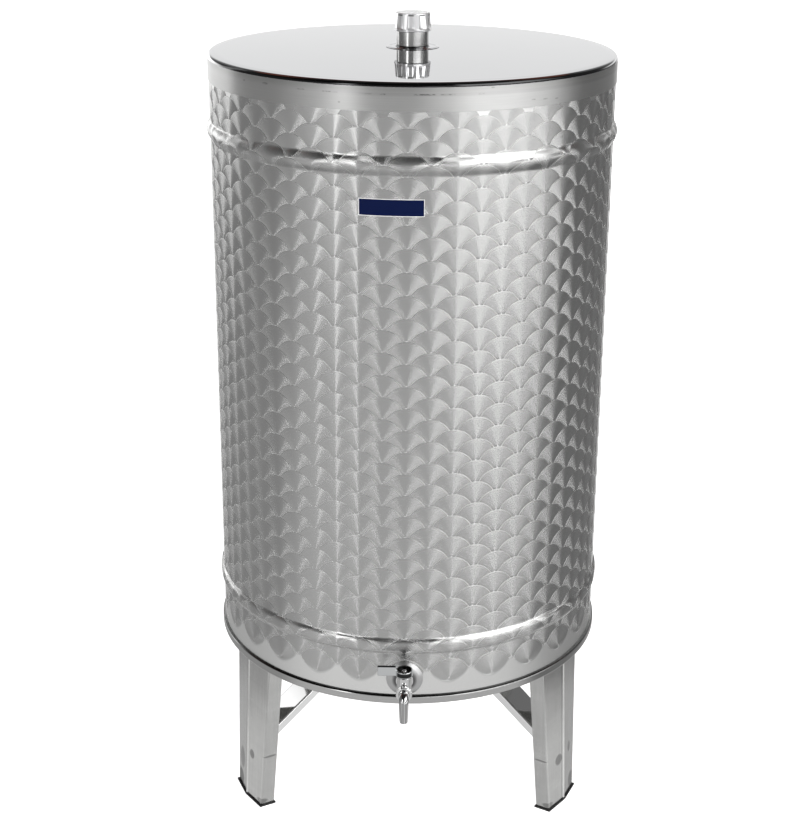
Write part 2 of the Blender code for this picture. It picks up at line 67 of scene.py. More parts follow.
# Tank wall, with its two rolled beads: height above the floor, half height, depth and fullness
FIT_GAP = 0.0003
WALL_SHEET = 0.0010
LID_SHEET = 0.0010
WALL_RADIUS = LID_HIGH.x - LID_SHEET - FIT_GAP
WALL_FRONT = AXIS_Y - WALL_RADIUS
UPPER_BEAD = (1.0002, 0.0133, 0.0048, 2.0)
LOWER_BEAD = (0.3337, 0.0125, 0.0040, 3.6)
BEAD_FOLD = 0.0016
BEAD_STEPS = 16
BEAD_SUPPORT = 0.0006
SUPPORT = 0.15
SHARP_ANGLE = radians(30)
ROUND_STEPS = 288
SMALL_STEPS = 96
TAP_ROWS = 0.012

# Lid, pressed ring and neck
LID_SKIRT = 0.036
LID_TOP_Z = LID_LOW.z + LID_SKIRT
LID_CROWN = 0.004
LID_CORNER = 0.0060
LID_SUPPORT = 0.0005
LID_LEAN = 1.0
LID_LEAN_HEIGHT = 0.012
LID_LEAN_STEPS = 6
LID_STEPS = 24
NECK_RADIUS = 0.02215
NECK_SHEET = 0.0016
NECK_BORE = 0.0183
NECK_SHOULDER_Z = CAP_LOW.z - FIT_GAP
THREAD_CREST = 0.0198
THREAD_ROOT = 0.0189
THREAD_PITCH = 0.0030
THREAD_RUN_OUT = 0.0015
THREAD_ROWS = 96

# Screw cap with nine broad flutes
CAP_TOP_RADIUS = 0.0236
CAP_FOOT_RADIUS = 0.0250
CAP_LIP_RADIUS = CAP_HIGH.x
CAP_LIP_HEIGHT = 0.0030
CAP_BORE = 0.0203
CAP_TOP_SHEET = 0.0024
FLUTES = 9
FLUTE_RADIUS = 0.014
FLUTE_DEPTH = 0.0019
FLUTE_TURN = radians(-5.6)
FLUTE_TOP_GAP = 0.0020
FLUTE_FOOT_GAP = 0.0006
FLUTE_RUN_OUT = 0.0016
FLUTE_ROWS = 48

# Rim strip and bottom plate
RIM_SHEET = 0.0012
RIM_LIP = 0.0024
RIM_FOOT = 0.0014
RIM_INNER_LIP = 0.0010
RIM_INNER_HEIGHT = 0.010
BOTTOM_SHEET = 0.0012

# Tap: distances outward from the wall along its bore, and upward from its bore
TAP_HOLE_RADIUS = 0.0080
TAP_TAIL_RADIUS = 0.0077
TAP_BORE = 0.0045
WASHER_RADIUS = WASHER_HIGH.x
WASHER_RISE = 0.0050
WASHER_SHEET = 0.0012
HOUSING_RADIUS = 0.0100
HOUSING_TOP = BODY_HIGH.z - TAP_Z
HOUSING_BOTTOM = BODY_LOW.z - TAP_Z
BODY_NECK_RADIUS = 0.0070
PLUG_BORE_RADIUS = 0.0065
COLLAR_RADIUS = COLLAR_HIGH.x
SPOUT_START_RADIUS = 0.0070
SPOUT_TIP_RADIUS = 0.0056
SPOUT_SHEET = 0.0014
SPOUT_BEND_RADIUS = 0.0067
SPOUT_BEND = COLLAR_LOW.y - SPOUT_LOW.y - SPOUT_BEND_RADIUS
SPOUT_TAPER = 1.5
SPOUT_SIDES = 48
SPOUT_BEND_STEPS = 20
SPOUT_DROP_STEPS = 12
HUB_RADIUS = HANDLE_HIGH.x
HUB_WALL = 0.0020
HUB_BOTTOM = 0.0208
HUB_HOLE = 0.0043
HUB_FLOOR = 0.0250
HUB_TOP = 0.0296
LEVER_THICK = 0.0026
PLUG_NECK_RADIUS = 0.0040
SCREW_RADIUS = SCREW_HIGH.x

# Stand: creased channel legs, and upside-down channel struts
LEG_ANGLES = {"left": -60.0, "right": 60.0, "back": 180.0}
LEG_SHEET = 0.0015
LEG_BEND = radians(7.3)
LEG_TOP = {"crease": 0.2667, "half": 0.0571, "flange": 0.0223}
LEG_FOOT = {"crease": 0.2776, "half": 0.0411, "flange": 0.0209}
LEG_CORNER = 0.0030
LEG_END_GAP = 0.0005
LEG_ROWS = 12
LEG_FOOT_Z = FOOT_HIGH.z + LEG_END_GAP
LEG_TOP_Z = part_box("leg_left")[1].z
RIB_HALF = 0.0026
RIB_HEIGHT = 0.0011
STRUT_SHEET = 0.0012
STRUT_HALF = 0.0235
STRUT_DEPTH = 0.0120
STRUT_SLOPE = radians(36.6)
STRUT_Z_AT_LEG = 0.091
STRUT_CORNER = 0.0025

# Blank label below the upper bead: angles round the tank, heights and border
LABEL_ANGLES = (radians(-12.86), radians(4.25))
LABEL_HEIGHTS = (0.9366, 0.9588)
LABEL_THICK = 0.00015
LABEL_GAP = 0.00005
LABEL_BORDER = 0.0008
LABEL_STEPS = 32

# Swirl polish: overlapping discs of concentric scratches in staggered upright columns
SWIRL_COLUMNS = 56
SWIRL_COLUMN_TURN = radians(-0.16)
SWIRL_ROW_PITCH = 0.0306
SWIRL_RADIUS = 0.0297
SWIRL_TOP_Z = 1.0480
SWIRL_ROWS = 25
SWIRL_PITCH = 2 * pi * WALL_RADIUS / SWIRL_COLUMNS
SWIRL_ROUGHNESS = 0.255
BURR_WIDTH = 0.0010
BURR_ROUGHNESS = 0.36
PLAIN_ROUGHNESS = 0.42

# Brushed steel: a slight warmth, how dark the painted shade in a seam line is at the front and at the
# sides, and the heights between which the rim's and the neck's sheet turn dark with painted shade
WARM = (1.0, 1.0, 0.99)
SEAM_SHADE_TONE = 0.05
SEAM_SIDE_SHADE_TONE = 0.45
RIM_SEAM_SHADE = (RIM_HIGH.z - 0.0015, RIM_HIGH.z - 0.0011)
NECK_SEAM_SHADE = (RING_HIGH.z + 0.0016, RING_HIGH.z + 0.0010)

# Marks on the lid's skirt: a broken seam line from one angle to another with its darkness, and pits
# with angle, height, half width, half height and darkness
SEAM_Z = 1.0892
SEAM_MARKS = [(1.0, 6.8, 0.40), (-7.4, -5.6, 0.34), (7.6, 11.8, 0.24), (-22.6, -18.0, 0.22),
              (-12.8, -9.0, 0.16), (17.4, 19.4, 0.22), (-30.0, -27.2, 0.20)]
SKIRT_PITS = [(-22.6, 1.0985, 0.0070, 0.0012, 0.20), (-17.8, 1.0775, 0.0020, 0.0014, 0.22),
              (-40.3, 1.0905, 0.0060, 0.0018, 0.22), (-48.8, 1.0895, 0.0030, 0.0016, 0.18),
              (-38.0, 1.0990, 0.0030, 0.0012, 0.16), (21.4, 1.0960, 0.0030, 0.0012, 0.18),
              (33.3, 1.0772, 0.0040, 0.0010, 0.22), (37.1, 1.0765, 0.0050, 0.0010, 0.18),
              (41.0, 1.0752, 0.0040, 0.0010, 0.20)]

# Grey stains and scratches on the front legs: leg, distance across from its crease, height,
# half width, half height and darkness
LEG_STAINS = [
    ("left", 0.0129, 0.0750, 0.007, 0.0085, 0.34),
    ("left", -0.0236, 0.0500, 0.012, 0.020, 0.22),
    ("left", -0.0300, 0.0150, 0.016, 0.014, 0.34),
    ("left", 0.0560, 0.0850, 0.012, 0.0020, 0.26),
    ("left", 0.0400, 0.0080, 0.012, 0.0050, 0.26),
    ("right", -0.0137, 0.0740, 0.010, 0.0100, 0.34),
    ("right", 0.0225, 0.0780, 0.006, 0.0100, 0.22),
    ("right", -0.0560, 0.0845, 0.012, 0.0018, 0.24),
    ("right", -0.0400, 0.0080, 0.012, 0.0050, 0.26),
    ("right", 0.0300, 0.0180, 0.012, 0.014, 0.26),
]

# Camera of the photograph: measured from the tank's axis
CAMERA_TURN = radians(0.8)
CAMERA_DISTANCE = 2.2436
CAMERA_HEIGHT = 1.4228
CAMERA_PITCH = radians(19.04)
CAMERA_ROLL = radians(0.47)
CAMERA_LENS = 72.74
CAMERA_SENSOR = 36.0
CAMERA_SHIFT = (-0.0125, -0.0585)

# Studio: the room's brightness in front (between two azimuths), to the left and to the right,
# above the horizon, overhead, near the tank's foot and straight below it. A fade is a pair of
# elevations in degrees.
ROOM_FRONT = 0.50
ROOM_FRONT_EDGES = (-73.0, 78.5)
ROOM_SIDES = (0.30, 0.17)
ROOM_ABOVE = 0.18
ABOVE_FADE = (-4.0, 12.0)
ROOM_TOP = 0.02
TOP_FADE = (25.0, 45.0)
CEILING_WARMTH = (0.13, 0.035, 0.02)
FLOOR_SHARE = 1.25
FLOOR_FADE = (-8.0, -24.0)
DEEP_FLOOR = 0.38
DEEP_FLOOR_FADE = (-40.0, -65.0)
NEAR_FLOOR_RADIUS = 0.62
NEAR_FLOOR_Z = -0.002
NEAR_FLOOR_GLOW = 0.62
NEAR_FLOOR_EDGE = 0.35
BACKDROP = 1.05
WHITE = (1.0, 1.0, 1.0, 1.0)
BLACK = (0.0, 0.0, 0.0, 1.0)
FLOOR_HALF = 30.0
NEAR_FLOOR_STEPS = 64

# Light panels: azimuths in degrees (0 towards the camera, growing towards +X), widths of their
# two soft edges, elevations, fade of their lower and upper edges, radiance
PANELS = [
    ((150.0, 220.0), (16.0, 10.0), (-90.0, 42.0), 6.0, 0.97),
    ((-220.0, -150.0), (10.0, 16.0), (-90.0, 42.0), 6.0, 0.97),
    ((160.0, 220.0), (12.0, 10.0), (20.0, 42.0), 6.0, 1.19),
    ((-220.0, -160.0), (10.0, 12.0), (20.0, 42.0), 6.0, 1.19),
    ((-60.0, 60.0), (20.0, 20.0), (-9.0, 6.0), 4.0, 0.72),
    ((-74.3, -20.8), (40.0, 14.6), (-6.7, 6.3), 3.0, 1.87),
    ((-0.3, 106.2), (40.0, 29.1), (-11.8, 1.1), 3.9, 2.31),
    ((-45.2, -30.4), (8.2, 4.0), (3.2, 39.0), 7.3, 5.17),
    ((5.5, 65.8), (4.4, 10.7), (7.6, 18.1), 5.7, 3.98),
    ((26.1, 100.3), (4.6, 33.8), (13.2, 47.9), 3.9, 3.74),
    ((-168.9, -112.2), (10.9, 7.5), (-10.3, 9.0), 5.0, 1.94),
    ((-130.0, -112.2), (10.0, 7.5), (2.0, 33.0), 5.0, 1.94),
    ((124.0, 166.0), (16.0, 8.0), (-1.0, 11.0), 5.0, 1.1),
]

# Places at the tap: one turns a shape whose own axis is +Z so that it points out of the front wall,
# and the other stands it upright on the plug's axis
TAP_FRONT = Matrix.Translation((0.0, WALL_FRONT, TAP_Z)) @ Matrix.Rotation(pi / 2, 4, "X")
TAP_PIVOT = Matrix.Translation((0.0, PIVOT_Y, TAP_Z))


class Value:
    """A number in a shader that can be calculated with. Each step makes a node."""

    def __init__(self, tree, socket):
        self.tree = tree
        self.socket = socket

    def calc(self, operation, *others):
        return add_node(self.tree, "Math", enumerate((self, *others)), operation=operation)

    def __add__(self, other):
        return self.calc("ADD", other)

    def __sub__(self, other):
        return self.calc("SUBTRACT", other)

    def __mul__(self, other):
        return self.calc("MULTIPLY", other)

    def __truediv__(self, other):
        return self.calc("DIVIDE", other)

    def __radd__(self, other):
        return self + other

    def __rsub__(self, other):
        return (self - other) * -1.0

    def less(self, other):
        return self.calc("LESS_THAN", other)

    def ramp(self, start, end):
        """0 before start, 1 after end, and smooth between them."""
        inputs = enumerate((self, start, end))
        return add_node(self.tree, "MapRange", inputs, interpolation_type="SMOOTHSTEP")

    def near(self, middle, far, close):
        """1 within close of a middle value, and 0 beyond far."""
        return (self - middle).calc("ABSOLUTE").ramp(far, close)

    def within(self, start, end, rise, fall=None):
        """1 between start and end, with a soft edge inside each of them."""
        return self.ramp(start, start + rise) * self.ramp(end, end - (fall or rise))

    def mix(self, first, second, kind="FLOAT"):
        """first where this value is 0, second where it is 1."""
        low, high, result = {"FLOAT": (2, 3, 0), "RGBA": (6, 7, 2)}[kind]
        inputs = ((0, self), (low, first), (high, second))
        return add_node(self.tree, "Mix", inputs, result, data_type=kind)

    def parts(self):
        """The three parts of a vector."""
        node = self.tree.nodes.new("ShaderNodeSeparateXYZ")
        feed(self.tree, node.inputs[0], self)
        return [Value(self.tree, socket) for socket in node.outputs]


def feed(tree, place, value):
    """Gives an input socket a plain number or colour, or links a value to it."""
    if isinstance(value, Value):
        tree.links.new(value.socket, place)
    else:
        place.default_value = value


def add_node(tree, kind, inputs=(), output=0, **settings):
    """A new node with its settings and (input, value) pairs. Gives one of its outputs."""
    node = tree.nodes.new("ShaderNode" + kind)
    for name, value in settings.items():
        setattr(node, name, value)
    for place, value in inputs:
        feed(tree, node.inputs[place], value)
    return Value(tree, node.outputs[output])


def pick(condition, yes, no):
    return condition.mix(no, yes)


def distance(first, second):
    return (first * first + second * second).calc("SQRT")


class Finish:
    """A material with one Principled shader, and the values that its nodes start from."""

    def __init__(self, name, metallic=1.0, anisotropic=0.0):
        self.material = bpy.data.materials.new(name)
        self.material.use_nodes = True
        self.tree = self.material.node_tree
        self.shader = self.tree.nodes["Principled BSDF"]
        self.set(Metallic=metallic, Anisotropic=anisotropic)
        self.place = add_node(self.tree, "TexCoord", output="Object")
        self.x, self.y, self.z = self.place.parts()

    def vector(self, x, y, z):
        return add_node(self.tree, "CombineXYZ", enumerate((x, y, z)))

    def noise(self, place, scale, detail=2.0):
        """A fractal noise from 0 to 1 at a place."""
        inputs = (("Vector", place), ("Scale", scale), ("Detail", detail))
        return add_node(self.tree, "TexNoise", inputs, "Fac")

    def grain(self, x, y, z, detail=2.0):
        """A noise that runs along three values, each with its own scale."""
        return self.noise(self.vector(x, y, z), 1.0, detail)

    def brush(self, around, roughness):
        """Fine streaks round the tank's axis, which draw highlights upright."""
        streaks = self.grain(around * 3.0, 0.0, self.z * 900.0, 3.0)
        self.set(Tangent=self.vector(0.0, 0.0, 1.0), Roughness=roughness + streaks * 0.10)
        return streaks

    def paint(self, shade, tint=(1.0, 1.0, 1.0)):
        """Sets the base colour to a grey with a slight tint."""
        self.set(Base_Color=self.vector(*(shade * share for share in tint)))

    def set(self, **sockets):
        for name, value in sockets.items():
            feed(self.tree, self.shader.inputs[name.replace("_", " ")], value)

    def around(self):
        """Angle round the tank's axis, 0 at the front and growing towards +X."""
        return self.x.calc("ARCTAN2", AXIS_Y - self.y)


def swirl_finish():
    """Discs of concentric scratches. Each lies over those above it and has raised up a fine burr
    just outside its edge. The sheet stays plain above the first discs and below the last ones."""
    finish = Finish("swirled_steel", anisotropic=1.0)
    around = finish.around()
    column = (around - SWIRL_COLUMN_TURN) * (SWIRL_COLUMNS / (2 * pi))
    nearest = (column + 0.5).calc("FLOOR")
    offset = column - nearest
    side = offset.calc("SIGN")
    discs = []
    for index, across in ((nearest, offset), (nearest + side, offset - side)):
        across = across * SWIRL_PITCH
        odd = (index * 0.5).calc("FRACT") * 2.0
        reach = (SWIRL_RADIUS ** 2 - across * across).calc("MAXIMUM", 0.0).calc("SQRT")
        top = SWIRL_TOP_Z - odd * (SWIRL_ROW_PITCH / 2)
        last = SWIRL_ROWS - odd
        row = ((top - finish.z + reach) / SWIRL_ROW_PITCH).calc("FLOOR")
        row = row.calc("MAXIMUM", 0.0).calc("MINIMUM", last)
        above = finish.z - top + row * SWIRL_ROW_PITCH
        apart = distance(across, above)
        above_next = above + (row + 0.5).less(last) * SWIRL_ROW_PITCH
        apart_next = distance(across, above_next)
        discs.append({"across": across, "above": above, "apart": apart, "odd": odd,
                      "above_next": above_next, "apart_next": apart_next})
    first, second = discs
    missed = 1.0 - first["apart"].less(SWIRL_RADIUS)
    lower = first["above"].less(second["above"]).calc("MAXIMUM", missed)
    other = second["apart"].less(SWIRL_RADIUS) * lower
    across, above, apart, odd = (pick(other, second[name], first[name])
                                 for name in ("across", "above", "apart", "odd"))
    inside = SWIRL_RADIUS - apart

    # plain sheet round the swirls: it rises between the lowest discs, which fade out softly
    foot = SWIRL_TOP_Z - SWIRL_ROW_PITCH * (SWIRL_ROWS - 0.5)
    rise = finish.z.ramp(foot - SWIRL_ROW_PITCH * 0.75, foot)
    reach = distance(across, above - SWIRL_RADIUS * 0.45)
    fringe = reach.ramp((rise * 0.34 + 0.52) * SWIRL_RADIUS, (rise * 0.20 + 0.80) * SWIRL_RADIUS)
    faded = fringe.calc("MAXIMUM", odd) * finish.z.ramp(foot + 0.001, foot - 0.006)
    plain = inside.ramp(0.0008, -0.0002).calc("MAXIMUM", faded)
    low = finish.z.less(LOWER_BEAD[0])

    # the nearest edge of a disc that lies over the one that shows here
    first_out, second_out = [(disc["apart_next"] - SWIRL_RADIUS).calc("ABSOLUTE")
                             + disc["above_next"].less(above) for disc in discs]
    outside = first_out.calc("MINIMUM", second_out)
    closer = second_out.less(first_out)
    burr_across, burr_above, burr_apart = (pick(closer, second[name], first[name])
                                           for name in ("across", "above_next", "apart_next"))
    burr = outside.ramp(BURR_WIDTH, BURR_WIDTH * 0.4) * (1.0 - plain)
    angle_x = burr.mix(across / apart, burr_across / burr_apart)
    angle_z = burr.mix(above / apart, burr_above / burr_apart)
    angle_x = plain.mix(angle_x, low)
    angle_z = plain.mix(angle_z, 1.0 - low)
    tangent = (around.calc("COSINE") * angle_x, around.calc("SINE") * angle_x, angle_z)
    finish.set(Tangent=finish.vector(*tangent))

    rings = finish.grain(apart * 320.0, across * 6.0, above * 6.0, 0.0) - 0.5
    cloud = finish.noise(finish.place, 9.0, 3.0) - 0.5
    edge = inside.ramp(0.0010, 0.0002) * (1.0 - plain)
    # painted highlight: a bright dot at each disc's centre
    centre = apart.ramp(0.0016, 0.0008) * (1.0 - plain)
    rough = burr.mix(SWIRL_ROUGHNESS + cloud * 0.02, BURR_ROUGHNESS)
    finish.set(Roughness=(plain * (1.0 - low)).mix(rough, PLAIN_ROUGHNESS))
    tone = 0.62 + rings * 0.03 + cloud * 0.03 + plain * (0.28 + low * 0.06)
    # the centres, and slightly the burr, are painted lighter as highlights
    finish.paint(tone + burr * 0.03 + centre * 0.20 - edge * 0.06, WARM)
    return finish


def brushed_finish(name, tone, roughness, anisotropic=0.8, seam=None):
    """Sheet brushed round the tank's axis. A seam is a pair of heights: the sheet is as it is at the
    first and painted dark at the second, as painted shade that is heavier at the front than at the
    sides."""
    finish = Finish(name, anisotropic=anisotropic)
    around = finish.around()
    streaks = finish.brush(around, roughness - 0.05)
    shade = tone - 0.04 + streaks * 0.08
    if seam:
        front = around.near(0.0, radians(62.0), radians(40.0))
        # painted shade in the seam line: near black at the front, lighter towards the sides
        shade = shade * finish.z.ramp(*seam).mix(1.0, front.mix(SEAM_SIDE_SHADE_TONE, SEAM_SHADE_TONE))
    finish.paint(shade, WARM)
    return finish


def skirt_finish():
    """The lid's skirt: brushed round, with a broken dark seam line and a few pits, painted shade on its
    upper part and a painted shade band along the seam line.
    """
    finish = Finish("brushed_skirt", anisotropic=0.8)
    around = finish.around()
    streaks = finish.brush(around, 0.31)
    cloud = finish.grain(around * 9.0, 0.0, finish.z * 60.0, 4.0)
    # painted shade: the upper part of the skirt is darker
    shade = (0.54 + streaks * 0.10 + cloud * 0.05) * finish.z.ramp(1.086, 1.098).mix(1.0, 0.82)
    grain = finish.grain(around * 60.0, 0.0, finish.z * 700.0)
    for start, end, depth in SEAM_MARKS:
        line = around.within(radians(start), radians(end), radians(0.6))
        line = line * finish.z.near(SEAM_Z, 0.0011, 0.0003)
        shade = shade - line * grain.ramp(0.35, 0.60) * depth
    # painted shade band along the seam line, on its right side
    shade_band = finish.z.near(SEAM_Z, 0.0030, 0.0010) * around.ramp(radians(-18.0), radians(-8.0))
    shade = shade - shade_band * 0.05
    for angle, height, wide, tall, depth in SKIRT_PITS:
        aside = (around - radians(angle)) * (WALL_RADIUS / wide)
        up = (finish.z - height) / tall
        shade = shade - (aside * aside + up * up).ramp(1.0, 0.2) * grain.ramp(0.25, 0.55) * depth
    finish.paint(shade, WARM)
    return finish


def leg_finish():
    """Dull rolled sheet, streaked upright, with cloudy bands, grey stains and a few scratches; painted
    shade on the outer webs, the flanges and beside the rib, and painted highlights on the rib and the
    corners.
    """
    finish = Finish("leg_steel", anisotropic=0.4)
    cloud = finish.grain(finish.x * 18.0, finish.y * 18.0, finish.z * 30.0, 4.0)
    streaks = finish.grain(finish.x * 260.0, finish.y * 260.0, finish.z * 6.0, 3.0)
    bands = finish.grain(finish.x * 5.0, finish.y * 5.0, finish.z * 190.0)
    finish.set(Tangent=finish.vector(0.0, 0.0, 1.0), Roughness=0.15 + cloud * 0.12)
    shade = 0.50 + cloud * 0.16 + streaks * 0.12 + bands * 0.06
    turn = (finish.around().calc("DEGREES") - LEG_ANGLES["right"]) / 120.0
    offset = (turn - (turn + 0.5).calc("FLOOR")) * radians(120.0)
    across = distance(finish.x, finish.y - AXIS_Y) * offset.calc("SINE")
    # painted shade: the outer webs and the flanges are darker
    outer = finish.around().calc("ABSOLUTE").ramp(radians(59.0), radians(61.0))
    side = across.calc("ABSOLUTE") - leg_size(finish.z, "half") * cos(LEG_BEND)
    shade = shade * outer.mix(1.0, 0.68) * side.ramp(-0.0022, -0.0010).mix(1.0, 0.84)
    # painted highlights along the corners and the rib, and a painted shade line beside the rib
    shade = shade + side.near(-0.0016, 0.0018, 0.0008) * 0.10
    shade = shade + across.near(0.0, 0.0036, 0.0024) * 0.26
    shade = shade - across.near(-0.0052, 0.0018, 0.0006) * 0.14
    for leg, aside, height, wide, tall, depth in LEG_STAINS:
        spot = leg_spot(leg, aside, height)
        level = distance(finish.x - spot.x, finish.y - spot.y) / wide
        up = (finish.z - height) / tall
        stain = (level * level + up * up).ramp(1.1, 0.4) * (0.6 + cloud * 0.8)
        shade = shade - stain * depth
    finish.paint(shade, (1.0, 1.0, 0.985))
    return finish


def washer_finish():
    """Satin sheet, turned round the tap's axis, with painted shade that darkens it close to the tap's
    body.
    """
    finish = Finish("washer_steel", anisotropic=0.5)
    up = finish.z - TAP_Z
    away = distance(finish.x, up)
    cloud = finish.noise(finish.place, 120.0, 3.0)
    finish.set(Tangent=finish.vector(finish.x / away, 0.0, up / away), Roughness=0.33 + cloud * 0.10)
    # painted shade close to the tap's body
    shade = away.ramp(0.0135, 0.0190).mix(0.14, 0.60) + cloud * 0.06
    finish.paint(shade)
    return finish


def handle_finish():
    """Chrome with painted shade in the hub's cup, and a painted dark reflection in a band below its rim
    and along the blade's top edge.
    """
    finish = Finish("handle_chrome")
    away = distance(finish.x, finish.y - PIVOT_Y)
    height = finish.z - TAP_Z
    # painted shade in the hub's cup; painted dark reflections below its rim and on the blade's top edge
    cup_shade = away.less(HUB_RADIUS - HUB_WALL + 0.0003) * height.ramp(HUB_FLOOR - 0.0010, HUB_FLOOR - 0.0004)
    shade_band = height.within(HUB_BOTTOM + 0.0010, HUB_TOP - 0.0010, 0.0008)
    shade_band = shade_band * finish.x.near(0.0, HUB_RADIUS * 0.92, HUB_RADIUS * 0.74)
    blade_top = HANDLE_HIGH.z - TAP_Z
    edge = height.ramp(blade_top - 0.0019, blade_top - 0.0014) * finish.x.less(-HUB_RADIUS)
    painted_dark = cup_shade.calc("MAXIMUM", shade_band).calc("MAXIMUM", edge)
    finish.paint(painted_dark.mix(0.72, 0.04), (0.98, 1.0, 1.01))
    finish.set(Roughness=painted_dark.mix(0.06, 0.30))
    return finish


def cap_finish():
    """Bright plated cap, with painted dark reflections where its flutes run out below the top and
    painted shade along their left edges.
    """
    finish = Finish("cap_chrome", metallic=0.62)
    share = (finish.around() - FLUTE_TURN) * (FLUTES / (2 * pi))
    offset = share - (share + 0.5).calc("FLOOR")
    top = CAP_HIGH.z - FLUTE_TOP_GAP
    low = CAP_LOW.z + CAP_LIP_HEIGHT + FLUTE_FOOT_GAP
    # painted dark reflections below the top and painted shade lines along the flutes' left edges
    crescent_shade = finish.z.within(top - FLUTE_RUN_OUT, top + 0.0003, FLUTE_RUN_OUT * 0.3, 0.0004)
    crescent_shade = crescent_shade * offset.near(0.0, 0.30, 0.20)
    edge = offset.near(-0.29, 0.06, 0.02) * finish.z.within(low, top, 0.001)
    cloud = finish.noise(finish.place, 40.0, 3.0)
    shade = (0.86 + cloud * 0.04) * crescent_shade.mix(1.0, 0.08) * edge.mix(1.0, 0.50)
    finish.paint(shade, (0.99, 0.99, 1.0))
    finish.set(Roughness=0.06 + cloud * 0.03)
    return finish


def spout_finish():
    """Polished tube with streaks along its drop."""
    finish = Finish("spout_chrome")
    streaks = finish.grain(finish.x * 620.0, finish.y * 90.0, finish.z * 9.0)
    finish.paint(streaks.ramp(0.32, 0.66).mix(0.40, 0.78))
    finish.set(Roughness=0.07)
    return finish


def plain_metal(name, tone, roughness):
    finish = Finish(name)
    cloud = finish.noise(finish.place, 40.0, 3.0)
    finish.set(Roughness=roughness * 0.8 + cloud * roughness * 0.4)
    finish.paint(tone - 0.02 + cloud * 0.04)
    return finish


def mirror_finish():
    """Mirror polish with a slight cool tint and faint hazy smears, and a painted dark reflection on the
    lid's front corner.
    """
    finish = Finish("mirror_steel")
    haze = finish.noise(finish.place, 14.0, 4.0)
    front = finish.around().near(0.0, radians(74.0), radians(58.0))
    # painted dark reflection on the lid's front corner, fading towards the sides
    corner = finish.z.ramp(LID_TOP_Z - 0.0014, LID_TOP_Z - 0.0024) * front
    finish.set(Roughness=0.02 + haze.ramp(0.45, 0.75) * 0.05 + corner * 0.10)
    finish.paint((0.572 + haze * 0.02) * corner.mix(1.0, 0.08), (0.985, 0.995, 1.01))
    return finish


def matt(name, tone, roughness):
    finish = Finish(name, metallic=0.0)
    cloud = finish.noise(finish.place, 200.0, 3.0)
    finish.paint(tone * 0.9 + cloud * tone * 0.2)
    finish.set(Roughness=roughness)
    return finish


def label_finish():
    """Dark blue film with a white border all round."""
    finish = Finish("label_film", metallic=0.0)
    start, end = LABEL_ANGLES
    low, high = LABEL_HEIGHTS
    sideways = (finish.around() - start).calc("MINIMUM", end - finish.around()) * WALL_RADIUS
    upright = (finish.z - low).calc("MINIMUM", high - finish.z)
    inside = sideways.calc("MINIMUM", upright).ramp(LABEL_BORDER * 0.9, LABEL_BORDER * 1.1)
    finish.set(Base_Color=inside.mix((0.85, 0.85, 0.85, 1.0), (0.001, 0.006, 0.045, 1.0), "RGBA"))
    cloud = finish.noise(finish.place, 300.0)
    finish.set(Roughness=0.25 + cloud * 0.1, Specular_IOR_Level=0.1)
    return finish


def make_finishes():
    return {
        "swirl": swirl_finish(),
        "skirt": skirt_finish(),
        "rim": brushed_finish("rim_steel", 0.58, 0.12, 0.3, RIM_SEAM_SHADE),
        "mirror": mirror_finish(),
        "neck": brushed_finish("neck_steel", 0.60, 0.20, 0.5, NECK_SEAM_SHADE),
        "satin": brushed_finish("satin_steel", 0.55, 0.32),
        "chrome": plain_metal("chrome", 0.78, 0.05),
        "cap": cap_finish(),
        "washer": washer_finish(),
        "handle": handle_finish(),
        "spout": spout_finish(),
        "strut": plain_metal("strut_steel", 0.88, 0.06),
        "dull": plain_metal("dull_steel", 0.50, 0.36),
        "leg": leg_finish(),
        "rubber": matt("black_rubber", 0.02, 0.6),
        "liner": matt("white_liner", 0.8, 0.5),
        "label": label_finish(),
    }


def dress(node, finish):
    """Gives a CAD node its finish."""
    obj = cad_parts[node]
    obj.data.materials.clear()
    obj.data.materials.append(finish.material)


def spread(start, end, steps):
    """Evenly spaced numbers from one to another, both ends included."""
    return [start + (end - start) * step / steps for step in range(steps + 1)]


def arc(centre, radius, start, end, steps):
    """Points from one angle to another, in degrees, both ends included."""
    return [(centre[0] + radius * cos(radians(angle)), centre[1] + radius * sin(radians(angle)))
            for angle in spread(start, end, steps)]


def softened(outline, closed=True, steps=6):
    """An outline whose corners (x, y, bend) are rounded by their bend. A bend of 0 stays sharp.
    A support point beyond each end of a bend keeps the straight stretches shaded flat."""
    points = []
    for index, (x, y, bend) in enumerate(outline):
        corner = Vector((x, y))
        inner = closed or 0 < index < len(outline) - 1
        if not (bend and inner):
            points.append((x, y))
            continue
        back = (Vector(outline[index - 1][:2]) - corner).normalized()
        ahead = (Vector(outline[(index + 1) % len(outline)][:2]) - corner).normalized()
        half = back.angle(ahead) / 2
        centre = corner + (back + ahead).normalized() * bend / sin(half)
        reach = bend / tan(half)
        first = corner + back * reach - centre
        last = corner + ahead * reach - centre
        points.append(tuple(corner + back * (reach + bend * SUPPORT)))
        for step in range(steps + 1):
            points.append(tuple(centre + first.slerp(last, step / steps).normalized() * bend))
        points.append(tuple(corner + ahead * (reach + bend * SUPPORT)))
    return points


def loft(rows, loop=True, closed=True):
    """A mesh through rows of points. loop joins the ends of each row, and closed joins the last row
    to the first."""
    count = len(rows[0])
    faces = []
    for row in range(len(rows) if closed else len(rows) - 1):
        start = row * count
        across = (row + 1) % len(rows) * count
        for step in range(count if loop else count - 1):
            after = (step + 1) % count
            faces.append((start + step, start + after, across + after, across + step))
    mesh = bpy.data.meshes.new("loft")
    mesh.from_pydata([point for row in rows for point in row], [], faces)
    return tidied(mesh)


